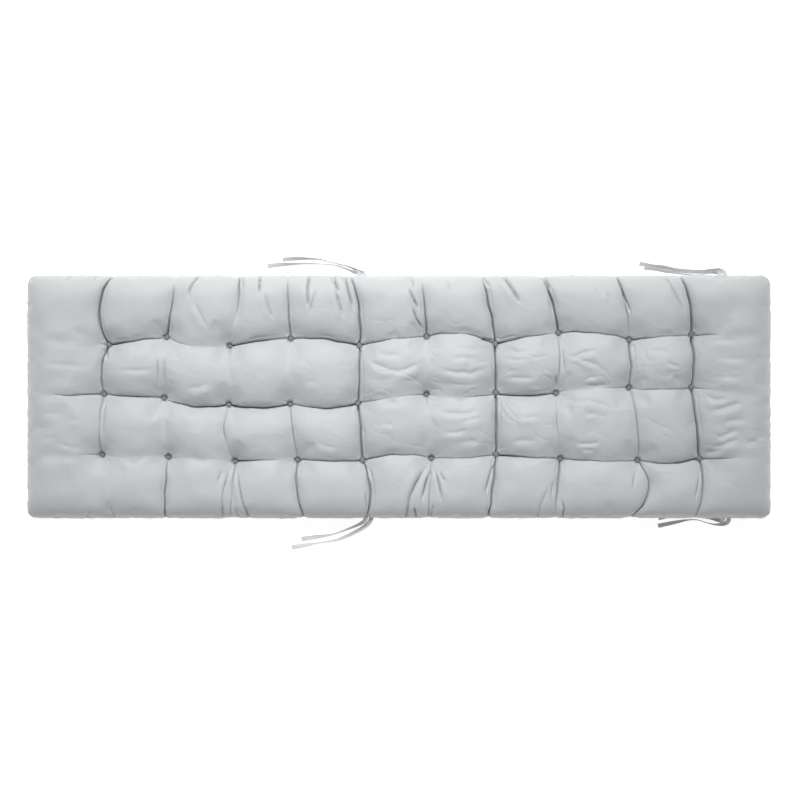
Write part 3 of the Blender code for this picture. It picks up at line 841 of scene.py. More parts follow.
def rounded_corner(x, y):
    """Moves places in the corners of the cover's rectangle onto the rounded plan."""
    from_x = (LENGTH / 2 - np.abs(x)) / CORNER_RADIUS
    from_y = (WIDTH / 2 - np.abs(y)) / CORNER_RADIUS
    inside = (from_x < 1) & (from_y < 1)
    out_x, out_y = 1 - np.minimum(from_x, 1), 1 - np.minimum(from_y, 1)
    reach = np.maximum(out_x, out_y) / np.maximum(np.hypot(out_x, out_y), 1e-9)
    round_x = np.sign(x) * (LENGTH / 2 - CORNER_RADIUS + out_x * reach * CORNER_RADIUS)
    round_y = np.sign(y) * (WIDTH / 2 - CORNER_RADIUS + out_y * reach * CORNER_RADIUS)
    return np.where(inside, round_x, x), np.where(inside, round_y, y)


class SettledCloth:
    """How far the upper panel moved when it was filled, known at the lines of a coarse grid."""

    def __init__(self, u_lines, v_lines, moved):
        self.u_lines, self.v_lines, self.moved = u_lines, v_lines, moved

    def at(self, u, v):
        """The movement at grid places, on smooth curves through what is known."""
        i, from_i = self.steps(u, self.u_lines)
        j, from_j = self.steps(v, self.v_lines)
        total = np.zeros((len(u), 3))
        for down, down_share in zip(self.around(j, self.v_lines), spline_shares(from_j)):
            for right, right_share in zip(self.around(i, self.u_lines), spline_shares(from_i)):
                total += self.moved[down, right] * (down_share * right_share)[:, None]
        return total

    def steps(self, at, lines):
        place = np.clip(np.interp(at, lines, np.arange(len(lines))), 0, len(lines) - 1.001)
        return place.astype(int), place - place.astype(int)

    def around(self, index, lines):
        return [np.clip(index + step, 0, len(lines) - 1) for step in (-1, 0, 1, 2)]


def spline_shares(t):
    """Shares of four neighbours in a smooth curve through the middle two."""
    return (
        (-t + 2 * t**2 - t**3) / 2,
        (2 - 5 * t**2 + 3 * t**3) / 2,
        (t + 4 * t**2 - 3 * t**3) / 2,
        (t**3 - t**2) / 2,
    )


def upright(base, u, v):
    """Unit vectors square to a panel at grid places, pointing up, as an array of three columns."""
    step = 0.004
    ends = []
    for du, dv in ((step, 0), (-step, 0), (0, step), (0, -step)):
        near_u = np.clip(u + du, 0.0, COLUMNS + 1.0)
        near_v = np.clip(v + dv, 0.0, ROWS + 1.0)
        ends.append(base(near_u, near_v))
    normal = np.cross(ends[3] - ends[2], ends[1] - ends[0])
    return normal / np.maximum(np.linalg.norm(normal, axis=1, keepdims=True), 1e-12)


def cusp(distance, half_width, power=1.7):
    """A fold's section: 1 along its line, falling steeply to 0 at its half width."""
    return np.maximum(0.0, 1 - distance / half_width) ** power


def clefts(at, normal):
    """How the valleys are cut in along their lines: straight into the filling, as vectors."""
    low, high = CLEFT_HALF_WIDTHS
    uneven = smooth_noise(at.x, at.y, CLEFT_UNEVEN_LENGTHS, SEEDS["cleft widths"])
    depths = []
    for strength, distance in at.creases():
        share = np.maximum(0.0, strength - FAINTEST_CLEFT) / (1 - FAINTEST_CLEFT)
        half_width = (low + (high - low) * share) * (1 + CLEFT_UNEVENNESS * uneven)
        depths.append(CLEFT_DEPTH * share * cusp(distance, half_width, CLEFT_SHARPNESS))
    across, along = depths
    lean = smooth_step((at.from_tuft - CLEFT_LEAN_START) / CLEFT_LEAN_REACH)
    lean = lean / (across + along + 1e-9)
    way_x, way_y = normal[:, 0] * lean * along, normal[:, 1] * lean * across
    way = np.stack([way_x, way_y, np.maximum(normal[:, 2], STEEPEST_LEAN)], axis=1)
    way /= np.linalg.norm(way, axis=1, keepdims=True)
    near_seat = smooth_step((at.from_tuft - CLEFT_START) / CLEFT_START_REACH)
    depth = np.maximum(across, along) * near_seat * at.off_seam
    return -way * depth[:, None]


def companions(at):
    """Depth of the fainter folds that run beside strong clefts, on one side or the other."""
    total = np.zeros_like(at.x)
    wander = smooth_noise(at.x + at.y, at.x - at.y, COMPANION_LENGTHS, SEEDS["companions"])
    place = COMPANION_OFFSET * np.sign(wander) * (1 + COMPANION_SWAY * wander)
    faintest, strongest = COMPANION_CLEFTS
    for (strength, _), offset in zip(at.creases(), (at.beside_cross, at.beside_long)):
        shown = smooth_step((strength - faintest) / (strongest - faintest))
        shown = shown * smooth_step(np.abs(wander) / COMPANION_CROSSING)
        total += COMPANION_DEPTH * shown * cusp(np.abs(offset - place), COMPANION_HALF_WIDTH)
    return total * smooth_step((at.from_tuft - BUTTON_RADIUS) / COMPANION_START) * at.off_seam


def beside_path(path, x, y):
    """How far places are from a path, the side of it they are on, and their share along it."""
    lengths = np.hypot(*(path[1:] - path[:-1]).T)
    starts = np.concatenate([[0.0], np.cumsum(lengths)])
    nearest = np.full(x.shape, np.inf)
    side = np.zeros_like(x)
    along = np.zeros_like(x)
    for (x0, y0), (x1, y1), start, length in zip(path, path[1:], starts, lengths):
        share = ((x - x0) * (x1 - x0) + (y - y0) * (y1 - y0)) / length**2
        share = np.clip(share, 0.0, 1.0)
        off_x, off_y = x - x0 - share * (x1 - x0), y - y0 - share * (y1 - y0)
        distance = np.hypot(off_x, off_y)
        closer = distance < nearest
        nearest = np.where(closer, distance, nearest)
        cross = (x1 - x0) * off_y - (y1 - y0) * off_x
        side = np.where(closer, np.sign(cross), side)
        along = np.where(closer, start + share * length, along)
    return nearest, side, along / starts[-1]


def fold_in(at, fold, slit_share, inward):
    """Adds one pleat or wrinkle, with its lip, to the depth that the cloth is folded in."""
    depth, half_width, lip, places = fold
    half_width = half_width * MM
    path = np.array(places, float) * MM
    reach = (LIP_CREST + LIP_FALL) * half_width
    low, high = path.min(axis=0) - reach, path.max(axis=0) + reach
    inside = (at.x > low[0]) & (at.x < high[0]) & (at.y > low[1]) & (at.y < high[1])
    x, y = at.x[inside], at.y[inside]
    nearest, side, share = beside_path(path, x, y)
    fade = smooth_step(np.minimum(share, 1 - share) / FOLD_END)
    if np.abs(path[:, 1]).max() > SEAM_PLEAT * MM:
        fade = np.where(WIDTH / 2 - np.abs(y) < GATHERED_STRIP, 1.0, fade)
    out = nearest / half_width
    roll = smooth_step(out / LIP_CREST) * (1 - smooth_step((out - LIP_CREST) / LIP_FALL))
    roll *= (side * lip < 0) * abs(lip)
    slit = slit_share * min(depth, DEEPEST_SLIT) * cusp(nearest, SLIT_HALF_WIDTH, SLIT_SHARPNESS)
    folded = depth * cusp(nearest, half_width) + slit - roll
    inward[inside] += fade * at.off_seam[inside] * folded * MM


def gathers(at):
    """Small ripples that run out of each tuft."""
    random = np.random.default_rng(SEEDS["gathers"])
    tufts = (COLUMNS + 2, ROWS + 2)
    count = random.integers(*GATHER_COUNTS, tufts)[at.column, at.row]
    phase = random.uniform(0, 2 * math.pi, tufts)[at.column, at.row]
    angle = np.arctan2(at.y - at.tuft_y, at.x - at.tuft_x)
    ripple = np.sin(count * angle + phase + GATHER_SWAY * np.sin(2 * angle + phase))
    begin = smooth_step((at.from_tuft - BUTTON_RADIUS) / GATHER_START)
    fade = np.exp(-np.maximum(0.0, at.from_tuft - BUTTON_RADIUS) / GATHER_REACH)
    return GATHER_HEIGHT * ripple * begin * fade


def crumples(at):
    """Slack little folds that run along the cushion, in patches, and the cloth's unevenness."""
    off_seat = smooth_step((at.from_tuft - BUTTON_RADIUS) / CRUMPLE_START) * at.off_seam
    off_crease = smooth_step(at.from_crease / CRUMPLE_CLEARANCE)
    patches = smooth_noise(at.x, at.y, PATCH_LENGTHS, SEEDS["crumple patches"])
    slack = on_pillows(SLACKNESS, at.u, at.v) * off_crease
    slack = slack * smooth_step(patches * PATCH_CONTRAST + PATCH_COVER)
    warp = CRUMPLE_WARP * smooth_noise(at.x, at.y, CRUMPLE_WARP_LENGTHS, SEEDS["crumple warp"])
    folds = smooth_noise(at.x, at.y + warp, CRUMPLE_LENGTHS, SEEDS["crumples"], CRUMPLE_SPREAD)
    grooves = 1 - np.minimum(np.abs(folds) * CRUMPLE_NARROWNESS, 1.0)
    folded = CRUMPLE_HEIGHT * slack * (grooves**CRUMPLE_SHARPNESS - CRUMPLE_SWELL)
    uneven = UNEVEN_HEIGHT * smooth_noise(at.x, at.y, UNEVEN_LENGTHS, SEEDS["unevenness"])
    return off_seat * (folded + uneven)


def puckers(at):
    """Small puckers where the cloth is gathered into the seam."""
    round_seam = np.where(at.from_side < at.from_end, at.x, at.y)
    wave = smooth_noise(round_seam, np.zeros_like(at.x), PUCKER_LENGTHS, SEEDS["puckers"])
    return PUCKER_HEIGHT * wave * np.exp(-at.from_seam / PUCKER_REACH)


def seam_ridge(at):
    """The seam's turned-in edge, which stands out a little between two shallow grooves."""
    ridge = np.maximum(0.0, 1 - at.from_seam / SEAM_RIDGE_WIDTH)
    off_groove = np.abs(at.from_seam - SEAM_GROOVE_OFFSET)
    groove = np.maximum(0.0, 1 - off_groove / SEAM_GROOVE_OFFSET)
    return SEAM_GROOVE * groove - SEAM_RIDGE * ridge


def upper_cloth(u, v, settled):
    """The upper panel with all its folds, as an array of points."""
    at = CoverPlaces(u, v)
    normal = upright(upper_base, u, v)
    inward = companions(at) + gathers(at) + puckers(at) + seam_ridge(at)
    for folds, slit_share in ((PLEATS, SLIT_SHARE), (WRINKLES, 0.0)):
        for fold in folds:
            fold_in(at, fold, slit_share, inward)
    inward += crumples(at)
    points = upper_base(u, v)
    if settled is not None:
        near_crease = 1 - smooth_step(at.from_crease / CALM_REACH)
        points += settled.at(u, v) * (1 - CALM_SHARE * near_crease)[:, None]
    return points + clefts(at, normal) - normal * inward[:, None]


def under_cloth(u, v):
    """The lower panel with its seam's puckers, as an array of points. Up is inward here."""
    at = CoverPlaces(u, v)
    inward = puckers(at) + seam_ridge(at)
    points = under_base(u, v)
    points += upright(under_base, u, v) * inward[:, None]
    points[:, 2] = np.maximum(points[:, 2], 0.0)
    return points


def crowded(steps, both_ends):
    """Shares from 0 to 1, without the 1, that crowd towards the creases they end at."""
    count = np.arange(steps) + 0.5
    from_crease = np.minimum(count, steps - count) if both_ends else steps - count
    sizes = 1 - TUFT_CROWDING * np.exp(-(from_crease - 0.5) / TUFT_CROWD_STEPS)
    return np.concatenate([[0.0], np.cumsum(sizes)[:-1]]) / sizes.sum()


def grid_lines(outer_length, stretches, outer_steps, inner_steps, roll_steps):
    """Grid numbers of a panel's mesh lines along one direction, from seam to seam."""
    turn = (np.arange(roll_steps) / roll_steps) ** ROLL_CROWDING * math.pi / 2
    top_starts = TOP_ROLL / outer_length
    roll = top_starts * (1 - np.cos(turn))
    outer = np.concatenate([roll, top_starts + (1 - top_starts) * crowded(outer_steps, False)])
    inner = [k + crowded(inner_steps, True) for k in range(1, stretches - 1)]
    return np.concatenate([outer, *inner, [stretches - 1.0], (stretches - outer)[::-1]])


# ---------------------------------------------------------------------------------------------
# Making meshes
# ---------------------------------------------------------------------------------------------


def only_select(*objects):
    bpy.ops.object.select_all(action="DESELECT")
    for obj in objects:
        obj.select_set(True)
    bpy.context.view_layer.objects.active = objects[0]


def points_of(mesh):
    flat = np.empty(len(mesh.vertices) * 3, np.float32)
    mesh.vertices.foreach_get("co", flat)
    return flat.reshape(-1, 3).astype(float)


def move_points(mesh, points):
    mesh.vertices.foreach_set("co", points.astype(np.float32).ravel())
    mesh.update()


def keep_cloth_places(obj, places):
    """Gives each point its place on the flat cloth, which the weave follows."""
    attribute = obj.data.attributes.new("cloth_place", "FLOAT_VECTOR", "POINT")
    attribute.data.foreach_set("vector", places.astype(np.float32).ravel())


def apply_modifier(obj, name, kind, **settings):
    """Adds a modifier to the active object and applies it."""
    modifier = obj.modifiers.new(name, kind)
    for key, value in settings.items():
        setattr(modifier, key, value)
    bpy.ops.object.modifier_apply(modifier=modifier.name)


def cloth_places(points, across, down):
    """Place of each point on the flat cloth: lengths along the grid's lines, from its middle."""
    grid = points.reshape(down + 1, across + 1, 3)
    along_u = np.linalg.norm(np.diff(grid, axis=1), axis=2).cumsum(axis=1)
    along_u = np.concatenate([np.zeros((down + 1, 1)), along_u], axis=1)
    along_v = np.linalg.norm(np.diff(grid, axis=0), axis=2).cumsum(axis=0)
    along_v = np.concatenate([np.zeros((1, across + 1)), along_v], axis=0)
    along_u -= along_u[:, across // 2 : across // 2 + 1]
    along_v -= along_v[down // 2 : down // 2 + 1, :]
    return np.stack([along_u, along_v, np.zeros_like(along_u)], axis=2).reshape(-1, 3)


def settle(u_lines, v_lines):
    """Fills the upper panel by cloth simulation, held at its seam, its tufts and its clefts."""
    sheet, order = panel("settling_cloth", upper_base, u_lines, v_lines)
    rest = points_of(sheet.data)
    grid_u, grid_v = np.meshgrid(u_lines, v_lines)
    at = CoverPlaces(grid_u.ravel(), grid_v.ravel())
    held = smooth_step((HELD_RADIUS - at.from_tuft) / HOLD_EDGE)
    held = np.maximum(held, at.from_seam < HELD_SEAM)
    for strength, distance in at.creases():
        grip = CREASE_HOLD * strength * smooth_step((HELD_CREASE - distance) / HOLD_EDGE)
        held = np.maximum(held, grip)
    group = sheet.vertex_groups.new(name="held")
    for index, weight in zip(order, held):
        if weight > LEAST_HOLD:
            group.add([int(index)], float(min(weight, 1.0)), "REPLACE")
    only_select(sheet)
    cloth = sheet.modifiers.new("Settling", "CLOTH")
    for key, value in SETTLING_CLOTH.items():
        setattr(cloth.settings, key, value)
    cloth.settings.vertex_group_mass = group.name
    cloth.settings.effector_weights.gravity = 0.0
    cloth.collision_settings.use_collision = False
    cloth.point_cache.frame_end = SETTLING_FRAMES
    for step in range(1, SETTLING_FRAMES + 1):
        bpy.context.scene.frame_set(step)
    bpy.ops.object.modifier_apply(modifier=cloth.name)
    moved = points_of(sheet.data) - rest
    far = np.linalg.norm(moved, axis=1, keepdims=True)
    moved *= np.minimum(1.0, MOST_SETTLING / np.maximum(far, 1e-9))
    bpy.data.objects.remove(sheet)
    bpy.context.scene.frame_set(1)
    moved = moved[order] * smooth_step((at.from_tuft - HELD_RADIUS) / SETTLING_START)[:, None]
    return SettledCloth(u_lines, v_lines, moved.reshape(len(v_lines), len(u_lines), 3))


def panel(name, cloth, u_lines, v_lines):
    """One panel of the cover, as a grid of cloth laid over the filling.

    With it comes the order of its points along the grid's lines, from the far line on.
    """
    across, down = len(u_lines) - 1, len(v_lines) - 1
    bpy.ops.object.select_all(action="DESELECT")
    bpy.ops.mesh.primitive_grid_add(x_subdivisions=across, y_subdivisions=down, size=1.0)
    obj = bpy.context.object
    obj.name = name
    flat = points_of(obj.data)
    i = np.rint((flat[:, 0] + 0.5) * across).astype(int)
    j = np.rint((0.5 - flat[:, 1]) * down).astype(int)
    points = cloth(u_lines[i], v_lines[j])
    move_points(obj.data, points)
    order = np.argsort(j * (across + 1) + i)
    on_cloth = np.empty_like(flat)
    on_cloth[order] = cloth_places(points[order], across, down)
    keep_cloth_places(obj, on_cloth)
    return obj, order


def panel_lines(coarser, roll_steps):
    """Grid numbers of a panel's mesh lines, along the cushion and across it."""
    end = LENGTH / 2 - COLUMN_PITCH * (COLUMNS - 1) / 2
    side = WIDTH / 2 - ROW_PITCH
    return (
        grid_lines(end, COLUMNS + 1, END_STEPS // coarser, INNER_STEPS // coarser, roll_steps),
        grid_lines(side, ROWS + 1, SIDE_STEPS // coarser, INNER_ROW_STEPS // coarser, roll_steps),
    )


def closed_cover():
    """The two panels, sewn together round their edge, as one closed object."""
    settled = None
    settled = settle(*panel_lines(COARSER, COARSE_ROLL_STEPS))
    lines = panel_lines(1, ROLL_STEPS)
    upper, _ = panel("cushion_cover", lambda u, v: upper_cloth(u, v, settled), *lines)
    under, _ = panel("under_panel", under_cloth, *lines)
    thin_out(under)
    only_select(under)
    bpy.ops.object.mode_set(mode="EDIT")
    bpy.ops.mesh.select_all(action="SELECT")
    bpy.ops.mesh.flip_normals()
    bpy.ops.object.mode_set(mode="OBJECT")
    only_select(upper, under)
    bpy.ops.object.join()
    bpy.ops.object.mode_set(mode="EDIT")
    bpy.ops.mesh.select_all(action="SELECT")
    bpy.ops.mesh.remove_doubles(threshold=SEWING_DISTANCE)
    bpy.ops.mesh.normals_make_consistent(inside=False)
    bpy.ops.object.mode_set(mode="OBJECT")
    upper.data.calc_loop_triangles()
    share = min(1.0, MOST_FACES / len(upper.data.loop_triangles))
    apply_modifier(upper, "Fewer faces", "DECIMATE", ratio=share)
    only_select(upper)
    bpy.ops.object.shade_smooth_by_angle(angle=math.radians(SHARP_FOLD))
    return upper


def thin_out(under):
    """Leaves the plain underside a small share of its faces, with all of those at the seam."""
    group = under.vertex_groups.new(name="underside")
    away = points_of(under.data)[:, 2] < SEAM_HEIGHT * UNDERSIDE
    group.add([int(k) for k in np.flatnonzero(away)], 1.0, "REPLACE")
    only_select(under)
    apply_modifier(
        under, "Plain underside", "DECIMATE", ratio=UNDER_KEEP, vertex_group=group.name
    )
    under.vertex_groups.clear()


# ---------------------------------------------------------------------------------------------
# Materials
# ---------------------------------------------------------------------------------------------


class Shader:
    """A material's node tree, with short ways to add and join its nodes."""

    def __init__(self, name):
        self.material = bpy.data.materials.new(name)
        self.material.use_nodes = True
        self.tree = self.material.node_tree
        self.principled = self.tree.nodes["Principled BSDF"]

    def node(self, kind, inputs=(), **settings):
        made = self.tree.nodes.new(kind)
        for key, value in settings.items():
            setattr(made, key, value)
        for key, value in dict(inputs).items():
            if isinstance(value, bpy.types.NodeSocket):
                self.tree.links.new(value, made.inputs[key])
            else:
                made.inputs[key].default_value = value
        return made

    def math(self, operation, first, second=0.0, third=0.0):
        inputs = {0: first, 1: second, 2: third}
        return self.node("ShaderNodeMath", inputs, operation=operation).outputs[0]

    def feed(self, socket, value):
        self.tree.links.new(value, self.principled.inputs[socket])

    def toned(self, colour, tone):
        """A colour, made a little darker or lighter by a tone round 1."""
        grey = self.node("ShaderNodeCombineColor", {0: tone, 1: tone, 2: tone})
        inputs = {0: 1.0, 6: colour, 7: grey.outputs[0]}
        tint = self.node("ShaderNodeMix", inputs, data_type="RGBA", blend_type="MULTIPLY")
        return tint.outputs[2]


def weave_height(shader, place, pitch):
    """Height of a plain weave: threads that pass over and under each other, from 0 to 1."""
    split = shader.node("ShaderNodeSeparateXYZ", {0: place})
    turns = [shader.math("MULTIPLY", split.outputs[k], math.pi / pitch) for k in (0, 1)]
    waves = [shader.math("SINE", turn) for turn in turns]
    warp = shader.math("ABSOLUTE", waves[0])
    weft = shader.math("ABSOLUTE", waves[1])
    over = shader.math("MULTIPLY", waves[0], waves[1])
    over = shader.math("MULTIPLY_ADD", over, 0.5, 0.5)
    high = shader.math("MULTIPLY", warp, over)
    low = shader.math("MULTIPLY", weft, shader.math("SUBTRACT", 1.0, over))
    return shader.math("ADD", high, low)


def cloth_material(name, colour, pitch, place_of):
    """Smooth matt woven polyester: fine weave with painted shade between its threads, uneven dye and a
    soft sheen.
    """
    shader = Shader(name)
    place = place_of(shader)
    height = weave_height(shader, place, pitch)
    dye = shader.node("ShaderNodeTexNoise", {"Vector": place, "Scale": DYE_SCALE, "Detail": 3.0})
    slubs = shader.node("ShaderNodeMapping", {"Vector": place, "Scale": SLUB_SCALE})
    slub = shader.node("ShaderNodeTexNoise", {"Vector": slubs.outputs[0], "Scale": 1.0})
    tone = shader.math("MULTIPLY_ADD", dye.outputs[0], DYE_TONE, DARKEST_TONE)
    tone = shader.math("MULTIPLY_ADD", slub.outputs[0], SLUB_TONE, tone)
    # Painted shade: darker between the threads, lighter on their crests.
    tone = shader.math("MULTIPLY_ADD", height, THREAD_PAINTED_SHADE, tone)
    shader.feed("Base Color", shader.toned(colour, tone))
    rough = shader.math("MULTIPLY_ADD", slub.outputs[0], SLUB_ROUGHNESS, CLOTH_ROUGHNESS)
    shader.feed("Roughness", rough)
    shader.principled.inputs["Specular IOR Level"].default_value = 0.35
    shader.principled.inputs["Sheen Weight"].default_value = 0.18
    shader.principled.inputs["Sheen Roughness"].default_value = 0.45
    threads = {"Strength": 0.35, "Distance": THREAD_BUMP, "Height": height}
    fine = shader.node("ShaderNodeBump", threads)
    noise = {"Vector": place, "Scale": CREPE_SCALE, "Detail": 4.0}
    crepe = shader.node("ShaderNodeTexNoise", noise).outputs[0]
    uneven = {"Strength": 0.25, "Distance": CREPE_BUMP, "Height": crepe, "Normal": fine.outputs[0]}
    shader.feed("Normal", shader.node("ShaderNodeBump", uneven).outputs[0])
    return shader.material


def from_attribute(shader):
    node = shader.node("ShaderNodeAttribute", attribute_name="cloth_place")
    return node.outputs["Vector"]


def from_object(shader):
    return shader.node("ShaderNodeTexCoord").outputs["Object"]


def light_table(name, colour, glow):
    """A matt white sheet, lit a little from below."""
    shader = Shader(name)
    noise = {"Vector": from_object(shader), "Scale": 3.0, "Detail": 2.0}
    stain = shader.node("ShaderNodeTexNoise", noise).outputs[0]
    tone = shader.math("MULTIPLY_ADD", stain, FLOOR_TONE, 1 - FLOOR_TONE / 2)
    tinted = shader.toned(colour, tone)
    shader.feed("Base Color", tinted)
    shader.feed("Emission Color", tinted)
    shader.principled.inputs["Emission Strength"].default_value = glow
    shader.principled.inputs["Roughness"].default_value = 0.9
    return shader.material


def give(obj, material):
    obj.data.materials.clear()
    obj.data.materials.append(material)


# ---------------------------------------------------------------------------------------------
# Operators
# ---------------------------------------------------------------------------------------------


class CUSHION_OT_make_cover(bpy.types.Operator):
    """Make the padded cover with its tufts, creases and pleats"""

    bl_idname = "cushion.make_cover"
    bl_label = "Make cover"
    bl_options = {"REGISTER", "UNDO"}

    def execute(self, context):
        looks = context.scene.cushion_looks
        cover = closed_cover()
        give(
            cover,
            cloth_material("Cover cloth", looks.cover_colour, looks.thread_pitch, from_attribute),
        )
        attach(cover, "root")
        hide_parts("cushion")
        return {"FINISHED"}


class CUSHION_OT_make_buttons(bpy.types.Operator):
    """Make the cloth-covered tufting buttons"""

    bl_idname = "cushion.make_buttons"
    bl_label = "Make buttons"
    bl_options = {"REGISTER", "UNDO"}

    def execute(self, context):
        looks = context.scene.cushion_looks
        # The buttons' dark cloth colour is painted shade, for the pits that they sit in.
        material = cloth_material(
            "Button cloth", looks.shaded_button_colour, looks.thread_pitch, from_object
        )
        pattern = self.button_pattern()
        random = np.random.default_rng(SEEDS["buttons"])
        for row in range(1, ROWS + 1):
            for column in range(1, COLUMNS + 1):
                button = pattern.copy()
                button.data = pattern.data.copy()
                button.name = f"tuft_button_r{row}_c{column:02d}"
                context.scene.collection.objects.link(button)
                points = self.turned(points_of(button.data), random)
                seat = tuft_seat(row, column)
                seat.z -= BUTTON_SINK
                move_points(button.data, points + np.array(seat))
                give(button, material)
                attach(button, "root")
                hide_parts(f"button_r{row}_c{column:02d}")
        bpy.data.objects.remove(pattern)
        return {"FINISHED"}

    def turned(self, points, random):
        """The pattern's points, turned round and then tilted by chance."""
        turn = random.uniform(0, 2 * math.pi)
        lean = random.uniform(-BUTTON_LEAN, BUTTON_LEAN, 2)
        cos, sin = math.cos(turn), math.sin(turn)
        x = points[:, 0] * cos - points[:, 1] * sin
        y = points[:, 0] * sin + points[:, 1] * cos
        z = points[:, 2] + lean[0] * x + lean[1] * y
        return np.stack([x, y, z], axis=1)

    def button_pattern(self):
        """A flattened dome with the cloth gathered in round its back."""
        bpy.ops.object.select_all(action="DESELECT")
        bpy.ops.mesh.primitive_uv_sphere_add(
            segments=BUTTON_SEGMENTS, ring_count=BUTTON_RINGS, radius=BUTTON_RADIUS, location=(0, 0, 0)
        )
        button = bpy.context.object
        points = points_of(button.data)
        angle = np.arctan2(points[:, 1], points[:, 0])
        low = np.clip(-points[:, 2] / BUTTON_RADIUS, 0.0, 1.0)
        gathered = BUTTON_GATHER_DEPTH * low * (1 + np.sin(BUTTON_GATHERS * angle))
        points[:, :2] *= (1 - gathered)[:, None]
        points[:, 2] *= np.where(points[:, 2] > 0, BUTTON_DOME, BUTTON_BACK)
        points[:, 2] += BUTTON_RADIUS * BUTTON_LIFT
        move_points(button.data, points)
        only_select(button)
        bpy.ops.object.shade_smooth()
        return button


def under_roll_inset(height):
    """How far in from the seam the rolled edge of the lower panel is at a height."""
    shell = 1 - min(max(height / SEAM_HEIGHT, 0.0), 1.0)
    return UNDER_ROLL * (1 - (1 - shell**ROLL_POWER) ** (1 / ROLL_POWER))


def curve_through(points, at):
    """Point of the smooth curve through all the points, at a whole or part step along them."""
    last = len(points) - 1
    low = min(int(at), last - 1)
    t = at - low
    before, start = points[max(low - 1, 0)], points[low]
    end, after = points[low + 1], points[min(low + 2, last)]
    straight = (end - before) * 0.5
    bend = before - start * 2.5 + end * 2 - after * 0.5
    twist = (start - end) * 1.5 + (after - before) * 0.5
    return start + straight * t + bend * t**2 + twist * t**3


def tie_frames(line):
    """Middle point and across direction of a tie at each step from its root to its free end."""
    side = 1 if line[0][1] > 0 else -1
    points = [Vector(row[:3]) for row in line]
    rolls = [Vector((row[3], 0.0)) for row in line]
    length = sum((b - a).length for a, b in zip(points, points[1:])) * MM
    steps = round(length / TIE_STEP)
    half = TIE_WIDTH / 2
    frames = []
    for step in range(steps + 1):
        at = step / steps * (len(points) - 1)
        roll = math.radians(curve_through(rolls, at).x)
        place = curve_through(points, at) * MM
        ahead = curve_through(points, min(at + HEADING_STEP, len(points) - 1.0))
        behind = curve_through(points, max(at - HEADING_STEP, 0.0))
        forward = (ahead - behind).normalized()
        sideways = forward.cross(Vector((0.0, 0.0, 1.0))).normalized()
        upward = sideways.cross(forward)
        across = sideways * math.cos(roll) + upward * math.sin(roll)
        rise = abs(across.z) * half + TIE_THICKNESS / 2
        place.z = max(place.z, 0.0) + rise + FLOOR_GAP
        if step > TIE_ROOT_PLACES * steps / len(points):
            reach = abs(across.y) * half + TIE_THICKNESS / 2
            least = WIDTH / 2 - under_roll_inset(place.z + rise) + reach
            place.y = side * max(side * place.y, least)
        frames.append((place, across))
    return frames


class CUSHION_OT_make_ties(bpy.types.Operator):
    """Make the flat cloth ties that are sewn into the side seams"""

    bl_idname = "cushion.make_ties"
    bl_label = "Make ties"
    bl_options = {"REGISTER", "UNDO"}

    def execute(self, context):
        looks = context.scene.cushion_looks
        material = cloth_material("Tie cloth", looks.tie_colour, looks.thread_pitch, from_attribute)
        for node, line in TIE_LINES.items():
            frames = tie_frames(line)
            tie = self.tape(node.replace("tie", "cloth_tie"), frames)
            give(tie, material)
            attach(tie, "root")
            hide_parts(node)
        return {"FINISHED"}

    def tape(self, name, frames):
        """A strip of cloth along its line, folded to its thickness and hemmed along its edges."""
        steps = len(frames) - 1
        bpy.ops.object.select_all(action="DESELECT")
        bpy.ops.mesh.primitive_grid_add(
            x_subdivisions=steps, y_subdivisions=TIE_CROSS_STEPS, size=1.0
        )
        tie = bpy.context.object
        tie.name = name
        flat = points_of(tie.data)
        step = np.rint((flat[:, 0] + 0.5) * steps).astype(int)
        across = flat[:, 1] * TIE_WIDTH
        places, directions = (np.array(vectors)[step] for vectors in zip(*frames))
        move_points(tie.data, places + directions * across[:, None])
        keep_cloth_places(tie, np.stack([step * TIE_STEP, across, np.zeros_like(across)], axis=1))
        only_select(tie)
        apply_modifier(tie, "Folded cloth", "SOLIDIFY", thickness=TIE_THICKNESS, offset=0.0)
        edges = {
            "width": TIE_THICKNESS * TIE_EDGE,
            "segments": TIE_EDGE_SEGMENTS,
            "limit_method": "ANGLE",
            "angle_limit": math.radians(TIE_EDGE_ANGLE),
        }
        apply_modifier(tie, "Soft edges", "BEVEL", **edges)
        bpy.ops.object.shade_smooth()
        return tie


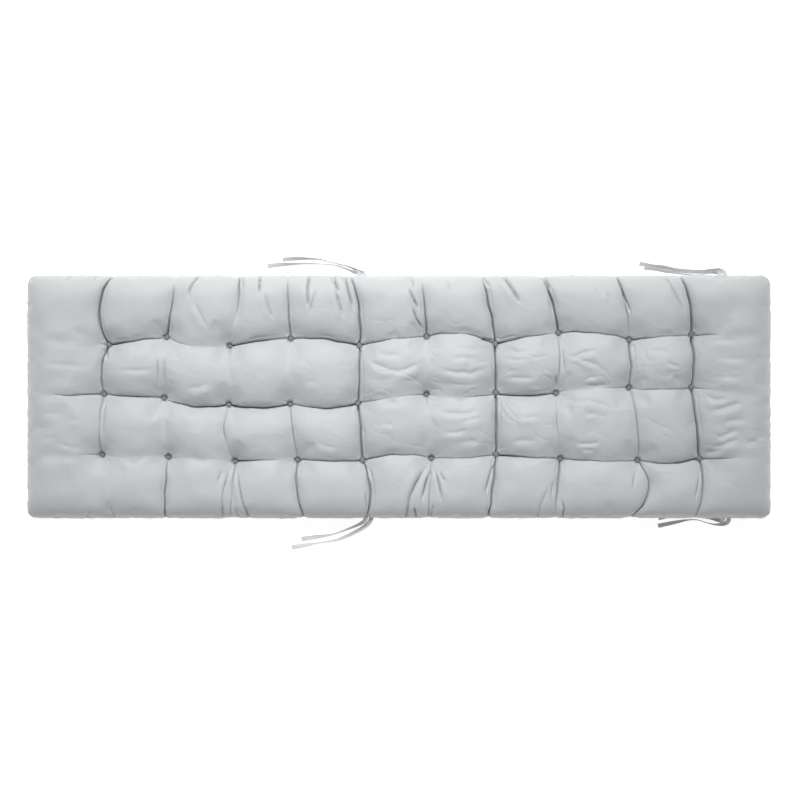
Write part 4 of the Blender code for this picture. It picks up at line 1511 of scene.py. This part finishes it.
class CUSHION_OT_make_stage(bpy.types.Operator):
    """Make the pale floor, the soft studio light and the camera"""

    bl_idname = "cushion.make_stage"
    bl_label = "Make stage"
    bl_options = {"REGISTER", "UNDO"}

    def execute(self, context):
        scene = context.scene
        bpy.ops.object.select_all(action="DESELECT")
        bpy.ops.mesh.primitive_plane_add(size=FLOOR_SIZE, location=(0, 0, -FLOOR_DROP))
        floor = bpy.context.object
        floor.name = "studio_floor"
        give(floor, light_table("Studio floor", FLOOR_COLOUR, FLOOR_GLOW))

        world = bpy.data.worlds.new("Studio")
        world.use_nodes = True
        sky = world.node_tree.nodes["Background"]
        sky.inputs["Color"].default_value = (1.0, 1.0, 1.0, 1.0)
        sky.inputs["Strength"].default_value = SKY_STRENGTH
        scene.world = world

        self.key_light(scene)
        self.camera(scene)
        scene.view_settings.view_transform = "Standard"
        return {"FINISHED"}

    def key_light(self, scene):
        light = bpy.data.lights.new("key", "AREA")
        light.shape = "RECTANGLE"
        light.spread = math.radians(KEY_SPREAD)
        light.size, light.size_y = KEY_SIZE
        light.energy = scene.cushion_looks.key_power
        obj = bpy.data.objects.new("key", light)
        scene.collection.objects.link(obj)
        obj.location = KEY_PLACE
        aim = Vector(KEY_AIM) - Vector(KEY_PLACE)
        obj.rotation_euler = aim.to_track_quat("-Z", "Y").to_euler()

    def camera(self, scene):
        data = bpy.data.cameras.new("Camera")
        data.lens = LENS
        data.sensor_width = SENSOR
        camera = bpy.data.objects.new("Camera", data)
        scene.collection.objects.link(camera)
        height = VIEW_WIDTH * LENS / SENSOR + SEAM_HEIGHT
        camera.location = (*VIEW_CENTRE, height)
        scene.camera = camera


class CUSHION_PT_panel(bpy.types.Panel):
    """Lists the steps that dress the cushion"""

    bl_label = "Tufted lounger cushion"
    bl_idname = "CUSHION_PT_panel"
    bl_space_type = "VIEW_3D"
    bl_region_type = "UI"
    bl_category = "Cushion"

    def draw(self, context):
        looks = context.scene.cushion_looks
        for name in looks.__annotations__:
            self.layout.prop(looks, name)
        for operator in OPERATORS:
            self.layout.operator(operator.bl_idname)


OPERATORS = (
    CUSHION_OT_make_cover,
    CUSHION_OT_make_buttons,
    CUSHION_OT_make_ties,
    CUSHION_OT_make_stage,
)


def register():
    for cls in (CushionLooks, *OPERATORS, CUSHION_PT_panel):
        bpy.utils.register_class(cls)
    bpy.types.Scene.cushion_looks = PointerProperty(type=CushionLooks)


def unregister():
    del bpy.types.Scene.cushion_looks
    for cls in reversed((CushionLooks, *OPERATORS, CUSHION_PT_panel)):
        bpy.utils.unregister_class(cls)


def main():
    register()
    bpy.ops.cushion.make_cover()
    bpy.ops.cushion.make_buttons()
    bpy.ops.cushion.make_ties()
    bpy.ops.cushion.make_stage()


if __name__ == "__main__":
    main()
